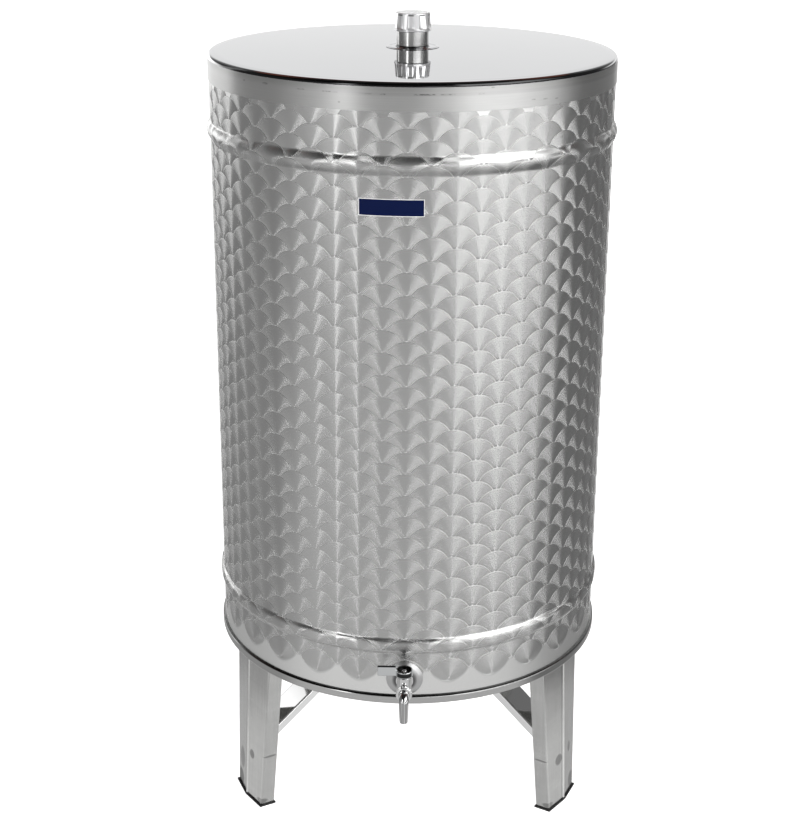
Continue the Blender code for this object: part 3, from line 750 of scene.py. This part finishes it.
def tidied(mesh):
    """Welds a mesh's seams, turns its faces outward and shades it smooth up to an angle."""
    shape = bmesh.new()
    shape.from_mesh(mesh)
    bmesh.ops.remove_doubles(shape, verts=shape.verts, dist=0.000002)
    bmesh.ops.dissolve_degenerate(shape, edges=shape.edges, dist=0.000001)
    bmesh.ops.recalc_face_normals(shape, faces=shape.faces)
    shape.to_mesh(mesh)
    shape.free()
    mesh.shade_smooth()
    mesh.set_sharp_from_angle(angle=SHARP_ANGLE)
    return mesh


def turned(profile, steps=SMALL_STEPS, place=None, closed=True, shape=None):
    """A turned mesh from (radius, height) points. shape may change a radius by height and angle."""
    rows = []
    for radius, height in profile:
        row = []
        for angle in spread(0, 2 * pi, steps)[:-1]:
            reach = shape(radius, height, angle) if shape else radius
            row.append((reach * sin(angle), -reach * cos(angle), height))
        rows.append(row)
    mesh = loft(rows, closed=closed)
    mesh.transform(place if place else Matrix.Translation(AXIS))
    return mesh


def placed(name, data):
    """A new object in the scene."""
    obj = bpy.data.objects.new(name, data)
    bpy.context.scene.collection.objects.link(obj)
    return obj


def worked(mesh, kind, **settings):
    """The mesh with one modifier worked into it."""
    obj = placed("work", mesh)
    modifier = obj.modifiers.new("work", kind)
    for name, value in settings.items():
        setattr(modifier, name, value)
    evaluated = obj.evaluated_get(bpy.context.evaluated_depsgraph_get())
    result = bpy.data.meshes.new_from_object(evaluated)
    bpy.data.objects.remove(obj)
    return tidied(result)


def combined(mesh, other, operation):
    """The mesh joined with another one, or cut by it."""
    tool = placed("tool", other)
    result = worked(mesh, "BOOLEAN", operation=operation, object=tool, solver="EXACT")
    bpy.data.objects.remove(tool)
    return result


def sheet(mesh, thickness):
    """An open surface given its thickness, on the side away from its normals."""
    return worked(mesh, "SOLIDIFY", thickness=thickness, offset=-1.0, use_even_offset=True)


def filled(outline, place=None, steps=SMALL_STEPS):
    """A turned solid whose outline starts and ends on its axis."""
    return turned(softened(outline, closed=False), steps, place, closed=False)


def rod(radius, low, high, place):
    """A plain round bar along its own Z, from one height to another."""
    return filled([(0, high, 0), (radius, high, 0), (radius, low, 0), (0, low, 0)], place)


def add_piece(name, mesh, finishes, body, slot, *nodes):
    """A piece that rides on a body and stands for the CAD nodes that it hides."""
    obj = placed(name, mesh)
    mesh.materials.clear()
    for finish in finishes if isinstance(finishes, list) else [finishes]:
        mesh.materials.append(finish.material)
    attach(obj, body)
    if nodes:
        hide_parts(*nodes)
    return obj


def bead(radius, spec):
    """A shallow bead on a wall line with a small fold above and below it, from top to bottom."""
    height, half, depth, fullness = spec
    reach = half - BEAD_FOLD
    lift = fullness * depth / reach * BEAD_FOLD / 4
    points = [(radius, height + half + BEAD_SUPPORT), (radius, height + half)]
    for share in spread(1.0, -1.0, BEAD_STEPS):
        out = depth * (1.0 - abs(share) ** fullness) + lift * abs(share) ** 8
        points.append((radius + out, height + reach * share))
    return points + [(radius, height - half), (radius, height - half - BEAD_SUPPORT)]


def wall_line(radius, tap_rows):
    """Points down the wall from top to bottom, with short rows round the tap's hole."""
    points = [(radius, WALL_HIGH.z)] + bead(radius, UPPER_BEAD) + bead(radius, LOWER_BEAD)
    if tap_rows:
        points += [(radius, TAP_Z + TAP_ROWS), (radius, TAP_Z - TAP_ROWS)]
    return points + [(radius, WALL_LOW.z)]


def crown_height(radius):
    """Height of the lid's crowned top at a distance from its centre."""
    return LID_TOP_Z + LID_CROWN * (1 - (radius / WALL_RADIUS) ** 2)


def build_wall(steel):
    rows = wall_line(WALL_RADIUS, True)
    rows += reversed(wall_line(WALL_RADIUS - WALL_SHEET, False))
    mesh = turned(rows, ROUND_STEPS)
    mesh = combined(mesh, rod(TAP_HOLE_RADIUS, -0.01, 0.01, TAP_FRONT), "DIFFERENCE")
    add_piece("wall_surface", mesh, steel["swirl"], "tank", "swirled_steel", "tank_wall")


def build_foot_of_tank(steel):
    inner = WALL_RADIUS - WALL_SHEET - FIT_GAP - RIM_INNER_LIP
    outer = WALL_RADIUS + FIT_GAP
    low = RIM_LOW.z
    fold = low + RIM_INNER_HEIGHT
    seam = [(RIM_HIGH.x, RIM_HIGH.z, RIM_LIP), (RIM_HIGH.x, low, RIM_FOOT), (inner, low, 0),
            (inner, fold, 0), (inner + RIM_INNER_LIP, fold, 0),
            (inner + RIM_INNER_LIP, low + RIM_SHEET, 0), (outer, low + RIM_SHEET, 0),
            (outer, RIM_HIGH.z, 0)]
    mesh = turned(softened(seam), ROUND_STEPS)
    add_piece("rim_surface", mesh, steel["rim"], "tank", "dull_steel", "bottom_rim")

    edge = PLATE_HIGH.x
    high = PLATE_HIGH.z
    plate = [(0, high, 0), (edge, high, 0.0020), (edge, PLATE_LOW.z, 0),
             (edge - BOTTOM_SHEET, PLATE_LOW.z, 0), (edge - BOTTOM_SHEET, high - BOTTOM_SHEET, 0.0008),
             (0, high - BOTTOM_SHEET, 0)]
    mesh = filled(plate, steps=ROUND_STEPS)
    add_piece("bottom_surface", mesh, steel["satin"], "tank", "satin_steel", "bottom_plate")


def build_lid(steel):
    """The lid's top is mirror polished, and its skirt is brushed."""
    skirt = LID_HIGH.x
    hole = NECK_RADIUS + FIT_GAP
    lean = tan(radians(LID_LEAN)) * LID_LEAN_HEIGHT / 2
    corner = (skirt - lean - LID_CORNER * cos(radians(LID_LEAN)), LID_TOP_Z - LID_CORNER)
    radii = spread(hole, corner[0], LID_STEPS)[:-1]
    outline = [(radius, crown_height(radius)) for radius in radii]
    outline += [(corner[0] - LID_SUPPORT, crown_height(corner[0] - LID_SUPPORT))]
    outline += arc(corner, LID_CORNER, 90, LID_LEAN, 12)
    shoulder = outline[-1][1]
    for share in spread(0, 1, LID_LEAN_STEPS)[1:]:
        outline.append((skirt - lean * (1 - share) ** 2, shoulder - LID_LEAN_HEIGHT * share))
    outline += [(skirt, shoulder - LID_LEAN_HEIGHT - LID_SUPPORT), (skirt, LID_LOW.z),
                (skirt - LID_SHEET, LID_LOW.z)]
    inner = (skirt - LID_CORNER, corner[1])
    outline += arc(inner, LID_CORNER - LID_SHEET, 0, 90, 8)
    outline += [(radius, crown_height(radius) - LID_SHEET) for radius in reversed(radii)]
    mesh = turned(outline, ROUND_STEPS)
    finishes = [steel["mirror"], steel["skirt"]]
    lid = add_piece("lid_surface", mesh, finishes, "tank", "mirror_steel", "lid")
    for face in lid.data.polygons:
        face.material_index = int(face.center.z < LID_TOP_Z - LID_CORNER)

    low = RING_LOW.z
    high = RING_HIGH.z
    ring = [(hole, high, 0), (hole + 0.0012, high, 0.0008), (hole + 0.0016, low + 0.0004, 0.0008),
            (RING_HIGH.x - 0.0060, low + 0.0003, 0.0020), (RING_HIGH.x - 0.0035, high, 0.0016),
            (RING_HIGH.x - 0.0012, low + 0.0001, 0.0010),
            (RING_HIGH.x, low + 0.0001, 0), (RING_HIGH.x, low, 0), (hole, low, 0)]
    mesh = turned(softened(ring), ROUND_STEPS)
    add_piece("ring_surface", mesh, steel["mirror"], "tank", "mirror_steel", "neck_ring")


def thread(radius, height, angle):
    """A helical thread on the upper, outer part of the neck, running out at both ends."""
    if radius < THREAD_CREST:
        return radius
    wave = 0.5 + 0.5 * cos(2 * pi * height / THREAD_PITCH - angle)
    depth = (THREAD_CREST - THREAD_ROOT) * (1 - wave)
    above = (NECK_HIGH.z - height) / THREAD_RUN_OUT
    below = (height - NECK_SHOULDER_Z) / THREAD_RUN_OUT
    return radius - depth * max(0.0, min(1.0, above, below))


def build_neck(steel):
    inner = NECK_RADIUS - NECK_SHEET
    step = NECK_SHOULDER_Z - 0.004
    outline = [(THREAD_CREST, height) for height in spread(NECK_HIGH.z, NECK_SHOULDER_Z, THREAD_ROWS)]
    rest = [(THREAD_CREST - 0.0001, NECK_SHOULDER_Z, 0), (NECK_RADIUS, NECK_SHOULDER_Z, 0.0006),
            (NECK_RADIUS, NECK_LOW.z, 0), (inner, NECK_LOW.z, 0), (inner, step, 0),
            (NECK_BORE, step + 0.002, 0), (NECK_BORE, NECK_HIGH.z, 0)]
    mesh = turned(outline + softened(rest, closed=False), SMALL_STEPS * 2, shape=thread)
    add_piece("neck_surface", mesh, steel["neck"], "tank", "satin_steel", "lid_neck")


def flute(radius, height, angle):
    """The cap's outer radius: broad flutes that run out above the lip and below the top."""
    if radius < CAP_BORE + 0.002 or height > CAP_HIGH.z - FLUTE_TOP_GAP:
        return radius
    turn = 2 * pi / FLUTES
    offset = (angle - FLUTE_TURN + turn / 2) % turn - turn / 2
    reach = CAP_FOOT_RADIUS - FLUTE_DEPTH + FLUTE_RADIUS
    hollow = reach * cos(offset) - sqrt(FLUTE_RADIUS ** 2 - (reach * sin(offset)) ** 2)
    below = (CAP_HIGH.z - FLUTE_TOP_GAP - height) / FLUTE_RUN_OUT
    above = (height - CAP_LOW.z - CAP_LIP_HEIGHT - FLUTE_FOOT_GAP) / FLUTE_RUN_OUT
    share = max(0.0, min(1.0, below, above))
    return radius - max(0.0, radius - hollow) * sin(share * pi / 2)


def build_cap(steel):
    lip_top = CAP_LOW.z + CAP_LIP_HEIGHT
    top = CAP_HIGH.z
    low = lip_top + FLUTE_FOOT_GAP
    high = top - FLUTE_TOP_GAP + 0.0004
    radii = spread(CAP_TOP_RADIUS, CAP_FOOT_RADIUS, FLUTE_ROWS)
    side = list(zip(radii, spread(high, low, FLUTE_ROWS)))
    crown = softened([(0, top, 0), (CAP_TOP_RADIUS, top, 0.0012), side[0] + (0,)], closed=False)
    lip = softened([side[-1] + (0,), (CAP_FOOT_RADIUS, lip_top, 0.0002),
                    (CAP_LIP_RADIUS, lip_top, 0.0006), (CAP_LIP_RADIUS, CAP_LOW.z, 0.0005),
                    (CAP_BORE, CAP_LOW.z, 0.0003),
                    (CAP_BORE, top - CAP_TOP_SHEET, 0.0008), (0, top - CAP_TOP_SHEET, 0)], closed=False)
    mesh = turned(crown[:-1] + side + lip[1:], SMALL_STEPS * 3, closed=False, shape=flute)
    add_piece("cap_surface", mesh, steel["cap"], "cap", "chrome", "screw_cap")

    disc = [(0, LINER_HIGH.z, 0), (LINER_HIGH.x, LINER_HIGH.z, 0.0004),
            (LINER_HIGH.x, LINER_LOW.z, 0.0004), (0, LINER_LOW.z, 0)]
    add_piece("liner_disc", filled(disc), steel["liner"], "liner", "white_liner", "cap_liner")


def build_label(steel):
    """A blank film label that follows the wall."""
    radius = WALL_RADIUS + LABEL_THICK + LABEL_GAP
    rows = []
    for height in reversed(LABEL_HEIGHTS):
        rows.append([(radius * sin(angle), AXIS_Y - radius * cos(angle), height)
                     for angle in spread(*LABEL_ANGLES, LABEL_STEPS)])
    mesh = sheet(loft(rows, loop=False, closed=False), LABEL_THICK)
    add_piece("label_plate", mesh, steel["label"], "tank", "white_liner")


def build_washer(steel):
    inner = WASHER_RISE - WASHER_SHEET
    outline = [(TAP_HOLE_RADIUS, WASHER_RISE, 0), (0.0125, WASHER_RISE, 0.0020),
               (0.0200, 0.0034, 0.0040), (WASHER_RADIUS, 0.0008, 0.0004), (WASHER_RADIUS, FIT_GAP, 0),
               (WASHER_RADIUS - 0.0012, FIT_GAP, 0), (0.0190, 0.0034 - WASHER_SHEET, 0),
               (0.0120, inner, 0), (TAP_HOLE_RADIUS, inner, 0)]
    mesh = turned(softened(outline), place=TAP_FRONT)
    add_piece("washer_surface", mesh, steel["washer"], "tank", "satin_steel", "tap_washer")


def build_tap_body(steel):
    shoulder = WASHER_RISE + FIT_GAP
    end = WALL_FRONT - BODY_LOW.y
    tail = WALL_FRONT - BODY_HIGH.y
    shank = [(0, end, 0), (BODY_NECK_RADIUS, end, 0.0004), (BODY_NECK_RADIUS, 0.0180, 0.0010),
             (0.0092, 0.0160, 0.0010), (0.0092, shoulder + 0.0032, 0.0006),
             (0.0120, shoulder + 0.0026, 0.0005), (0.0120, shoulder, 0), (TAP_TAIL_RADIUS, shoulder, 0),
             (TAP_TAIL_RADIUS, tail, 0.0005), (0, tail, 0)]
    housing = [(0, HOUSING_TOP, 0), (HOUSING_RADIUS, HOUSING_TOP, 0.0006),
               (HOUSING_RADIUS, -0.003, 0.0020), (0.0085, -0.0080, 0.0020),
               (0.0050, HOUSING_BOTTOM, 0.0012), (0, HOUSING_BOTTOM, 0)]
    mesh = combined(filled(shank, TAP_FRONT), filled(housing, TAP_PIVOT), "UNION")
    mesh = combined(mesh, rod(TAP_BORE, tail - 0.005, end + 0.005, TAP_FRONT), "DIFFERENCE")
    floor = PLUG_LOW.z - TAP_Z - FIT_GAP
    mesh = combined(mesh, rod(PLUG_BORE_RADIUS, floor, HOUSING_TOP + 0.01, TAP_PIVOT), "DIFFERENCE")
    add_piece("tap_casting", mesh, steel["chrome"], "tank", "chrome", "tap_body")

    start = WALL_FRONT - COLLAR_HIGH.y
    stop = WALL_FRONT - COLLAR_LOW.y
    bore = BODY_NECK_RADIUS + FIT_GAP
    collar = [(COLLAR_RADIUS, stop, 0.0012), (COLLAR_RADIUS, start, 0.0012), (bore, start, 0),
              (bore, stop, 0.0004)]
    mesh = turned(softened(collar), place=TAP_FRONT)
    add_piece("collar_surface", mesh, steel["chrome"], "tank", "chrome", "tap_collar")


def build_spout(steel):
    """A tapering elbow tube, straight out of the collar and then down."""
    start = WALL_FRONT - SPOUT_HIGH.y
    bend_at = WALL_FRONT - COLLAR_LOW.y
    drop = SPOUT_LOW.z - TAP_Z
    route = [(start, 0.0)] + arc((bend_at, -SPOUT_BEND), SPOUT_BEND, 90, 0, SPOUT_BEND_STEPS)
    heights = spread(-SPOUT_BEND, drop, SPOUT_DROP_STEPS)[1:]
    route += [(bend_at + SPOUT_BEND, height) for height in heights]
    outer = []
    inner = []
    length = 0.0
    total = bend_at - start + SPOUT_BEND * pi / 2 - drop - SPOUT_BEND
    for index, (reach, height) in enumerate(route):
        before = Vector(route[max(index - 1, 0)])
        after = Vector(route[min(index + 1, len(route) - 1)])
        along = (after - before).normalized()
        across = Vector((-along.y, along.x))
        length += (Vector(route[index]) - before).length
        narrowing = (SPOUT_TIP_RADIUS - SPOUT_START_RADIUS) * (length / total) ** SPOUT_TAPER
        radius = SPOUT_START_RADIUS + narrowing
        for rows, size in ((outer, radius), (inner, radius - SPOUT_SHEET)):
            row = []
            for angle in spread(0, 2 * pi, SPOUT_SIDES)[:-1]:
                point = Vector((reach, height)) + across * size * cos(angle)
                row.append((size * sin(angle), WALL_FRONT - point.x, TAP_Z + point.y))
            rows.append(row)
    mesh = loft(outer + inner[::-1])
    add_piece("spout_surface", mesh, steel["spout"], "tank", "chrome", "tap_spout")


def build_lever(steel):
    """Plug, handle and screw, which turn together about the upright axis."""
    low = PLUG_LOW.z - TAP_Z
    shoulder = HOUSING_TOP - 0.001
    plug = [(0, PLUG_HIGH.z - TAP_Z, 0), (PLUG_NECK_RADIUS, PLUG_HIGH.z - TAP_Z, 0.0003),
            (PLUG_NECK_RADIUS, shoulder, 0), (PLUG_HIGH.x, shoulder, 0.0003),
            (PLUG_HIGH.x, low, 0.0005), (0, low, 0)]
    crossing = TAP_PIVOT @ Matrix.Rotation(radians(90), 4, "Y")
    mesh = combined(filled(plug, TAP_PIVOT), rod(TAP_BORE, -0.02, 0.02, crossing), "DIFFERENCE")
    add_piece("plug_surface", mesh, steel["dull"], "tap_lever", "dull_steel", "tap_plug")

    wall = HUB_RADIUS - HUB_WALL
    hub = [(wall, HUB_TOP, 0.0006), (HUB_RADIUS, HUB_TOP, 0.0008), (HUB_RADIUS, HUB_BOTTOM, 0.0010),
           (HUB_HOLE, HUB_BOTTOM, 0), (HUB_HOLE, HUB_FLOOR, 0), (wall, HUB_FLOOR, 0.0008)]
    mesh = combined(turned(softened(hub), place=TAP_PIVOT), lever_blade(), "UNION")
    add_piece("handle_surface", mesh, steel["handle"], "tap_lever", "chrome", "tap_handle")

    base = SCREW_LOW.z - TAP_Z
    head = [(0, SCREW_HIGH.z - TAP_Z, 0), (SCREW_RADIUS, base + 0.0016, 0.0012), (SCREW_RADIUS, base, 0),
            (0, base, 0)]
    add_piece("screw_head", filled(head, TAP_PIVOT), steel["chrome"], "tap_lever", "chrome", "tap_screw")


def lever_blade():
    """An upright flat blade with rounded edges, from the hub out to the left."""
    start = HANDLE_LOW.x
    end = -HUB_RADIUS + HUB_WALL / 2
    low = HANDLE_LOW.z - TAP_Z
    high = HANDLE_HIGH.z - TAP_Z
    shape = bmesh.new()
    size = Matrix.Diagonal((end - start, LEVER_THICK, high - low, 1.0))
    middle = Matrix.Translation(((start + end) / 2, 0.0, (low + high) / 2))
    bmesh.ops.create_cube(shape, size=1.0, matrix=TAP_PIVOT @ middle @ size)
    bmesh.ops.bevel(shape, geom=shape.edges, offset=0.0005, segments=1, affect="EDGES")
    mesh = bpy.data.meshes.new("blade")
    shape.to_mesh(mesh)
    shape.free()
    return tidied(mesh)


def leg_size(height, name):
    """A leg dimension at a height, between its foot and its top."""
    share = (height - LEG_FOOT_Z) / (LEG_TOP_Z - LEG_FOOT_Z)
    return share * (LEG_TOP[name] - LEG_FOOT[name]) + LEG_FOOT[name]


def leg_spot(side, across, height):
    """A place on the web of a leg, across from its crease, or beyond its corner on the flange."""
    reach = min(abs(across), leg_size(height, "half") * cos(LEG_BEND))
    inward = reach * tan(LEG_BEND) + abs(across) - reach
    spot = Vector((copysign(reach, across), inward - leg_size(height, "crease"), height))
    return AXIS + Matrix.Rotation(radians(LEG_ANGLES[side]), 3, "Z") @ spot


def leg_row(height):
    """Outer outline of a leg on the -Y side: flange, corner, half web, rib and their mirror."""
    crease = leg_size(height, "crease")
    half = leg_size(height, "half")
    corner_x = half * cos(LEG_BEND)
    corner_y = -crease + half * sin(LEG_BEND)
    side = [(corner_x, corner_y + leg_size(height, "flange"), 0), (corner_x, corner_y, LEG_CORNER),
            (RIB_HALF, -crease + RIB_HALF * tan(LEG_BEND), 0.0012),
            (0.0, -crease - RIB_HEIGHT, 0.0012)]
    mirrored = [(-x, y, bend) for x, y, bend in reversed(side[:-1])]
    return [(x, y, height) for x, y in softened(side + mirrored, closed=False)]


def build_leg(side, degrees, steel):
    place = Matrix.Translation(AXIS) @ Matrix.Rotation(radians(degrees), 4, "Z")
    rows = [leg_row(height) for height in spread(LEG_FOOT_Z, LEG_TOP_Z, LEG_ROWS)]
    mesh = sheet(loft(rows, loop=False, closed=False), LEG_SHEET)
    mesh.transform(place)
    add_piece("leg_surface_" + side, mesh, steel["leg"], "tank", "leg_steel", "leg_" + side)

    normal = Vector((0, -sin(STRUT_SLOPE), cos(STRUT_SLOPE)))
    along = Vector((0, cos(STRUT_SLOPE), sin(STRUT_SLOPE)))
    seat = leg_size(STRUT_Z_AT_LEG, "crease") - LEG_SHEET - FIT_GAP
    start = Vector((0, -seat, STRUT_Z_AT_LEG))
    section = softened([(STRUT_HALF, -STRUT_DEPTH, 0), (STRUT_HALF, 0, STRUT_CORNER),
                        (-STRUT_HALF, 0, STRUT_CORNER), (-STRUT_HALF, -STRUT_DEPTH, 0)], closed=False)
    at_leg = []
    at_tank = []
    for x, depth in section:
        point = start + Vector((x, 0, 0)) + normal * depth
        leg_y = -leg_size(point.z, "crease") + LEG_SHEET + FIT_GAP + abs(x) * tan(LEG_BEND)
        at_leg.append(tuple(point + along * ((leg_y - point.y) / along.y)))
        at_tank.append(tuple(point + along * ((LEG_TOP_Z - point.z) / along.z)))
    mesh = sheet(loft([at_leg, at_tank], loop=False, closed=False), STRUT_SHEET)
    mesh.transform(place)
    add_piece("strut_surface_" + side, mesh, steel["strut"], "tank", "leg_steel", "strut_" + side)


def add_camera():
    camera = bpy.data.cameras.new("camera")
    camera.sensor_fit = "HORIZONTAL"
    camera.sensor_width = CAMERA_SENSOR
    camera.lens = CAMERA_LENS
    camera.shift_x, camera.shift_y = CAMERA_SHIFT
    obj = placed("camera", camera)
    place = AXIS + Vector((CAMERA_DISTANCE * sin(CAMERA_TURN),
                           -CAMERA_DISTANCE * cos(CAMERA_TURN), CAMERA_HEIGHT))
    obj.matrix_world = (Matrix.Translation(place) @ Matrix.Rotation(CAMERA_TURN, 4, "Z")
                        @ Matrix.Rotation(radians(90) - CAMERA_PITCH, 4, "X")
                        @ Matrix.Rotation(CAMERA_ROLL, 4, "Z"))
    bpy.context.scene.camera = obj


def add_surroundings():
    """The studio as the steel reflects it. The camera itself sees plain white behind the tank."""
    world = bpy.data.worlds.new("studio")
    bpy.context.scene.world = world
    world.use_nodes = True
    tree = world.node_tree
    x, y, z = add_node(tree, "TexCoord", output="Generated").parts()
    azimuth = x.calc("ARCTAN2", y * -1.0).calc("DEGREES")
    elevation = z.calc("ARCSINE").calc("DEGREES")

    left_room, right_room = ROOM_SIDES
    left_edge, right_edge = ROOM_FRONT_EDGES
    front = azimuth.within(left_edge - 12.0, right_edge + 12.0, 24.0)
    tone = front.mix(azimuth.ramp(-5.0, 5.0).mix(left_room, right_room), ROOM_FRONT)
    tone = tone * elevation.ramp(*FLOOR_FADE).mix(1.0, FLOOR_SHARE)
    tone = tone * elevation.ramp(*DEEP_FLOOR_FADE).mix(1.0, DEEP_FLOOR)
    tone = elevation.ramp(*ABOVE_FADE).mix(tone, ROOM_ABOVE)
    tone = elevation.ramp(*TOP_FADE).mix(tone, ROOM_TOP)
    for azimuths, edges, elevations, fade, radiance in PANELS:
        share = azimuth.within(*azimuths, *edges) * elevation.within(*elevations, fade)
        tone = share.mix(tone, radiance)
    tone = add_node(tree, "LightPath", output="Is Camera Ray").mix(tone, BACKDROP)
    ceiling = elevation.within(38.0, 62.0, 4.0, 16.0) * azimuth.calc("ABSOLUTE").ramp(60.0, 120.0)
    channels = [tone + ceiling * warmth for warmth in CEILING_WARMTH]
    colour = add_node(tree, "CombineXYZ", enumerate(channels))
    feed(tree, tree.nodes["Background"].inputs["Color"], colour)
    world.cycles.sampling_method = "NONE"


def flat_floor(name, corners, finish):
    """A flat face that belongs to the studio."""
    mesh = bpy.data.meshes.new(name)
    mesh.from_pydata(corners, [], [tuple(range(len(corners)))])
    mesh.materials.append(finish.material)
    floor = placed(name, mesh)
    return floor


def add_floor():
    finish = Finish("pale_floor", metallic=0.0)
    finish.paint(0.84 + finish.noise(finish.place, 2.0) * 0.04)
    finish.set(Roughness=0.9, Emission_Color=WHITE, Emission_Strength=1.0)
    corners = [(x * FLOOR_HALF, y * FLOOR_HALF, 0) for x, y in ((-1, -1), (1, -1), (1, 1), (-1, 1))]
    flat_floor("floor", corners, finish).visible_glossy = False


def add_near_floor():
    """The lit floor close round the tank, as the steel reflects it. The camera doesn't see it."""
    rim = [(NEAR_FLOOR_RADIUS * sin(angle), AXIS_Y - NEAR_FLOOR_RADIUS * cos(angle), NEAR_FLOOR_Z)
           for angle in spread(0, 2 * pi, NEAR_FLOOR_STEPS)[:-1]]
    finish = Finish("near_floor", metallic=0.0)
    away = distance(finish.x, finish.y - AXIS_Y)
    glow = away.ramp(NEAR_FLOOR_RADIUS, NEAR_FLOOR_RADIUS * 0.7).mix(NEAR_FLOOR_EDGE, NEAR_FLOOR_GLOW)
    finish.set(Base_Color=BLACK, Emission_Color=WHITE, Emission_Strength=glow)
    floor = flat_floor("near_floor", rim, finish)
    floor.visible_camera = False
    floor.visible_diffuse = False
    floor.visible_shadow = False


def set_view():
    view = bpy.context.scene.view_settings
    view.view_transform = "Standard"
    view.look = "None"


add_camera()
set_view()
add_surroundings()
add_floor()
add_near_floor()

STEEL = make_finishes()
dress("tap_seal", STEEL["rubber"])
dress("tap_backnut", STEEL["dull"])
build_wall(STEEL)
build_foot_of_tank(STEEL)
build_lid(STEEL)
build_neck(STEEL)
build_cap(STEEL)
build_label(STEEL)
build_washer(STEEL)
build_tap_body(STEEL)
build_spout(STEEL)
build_lever(STEEL)
for leg, degrees in LEG_ANGLES.items():
    build_leg(leg, degrees, STEEL)
    dress("foot_" + leg, STEEL["rubber"])
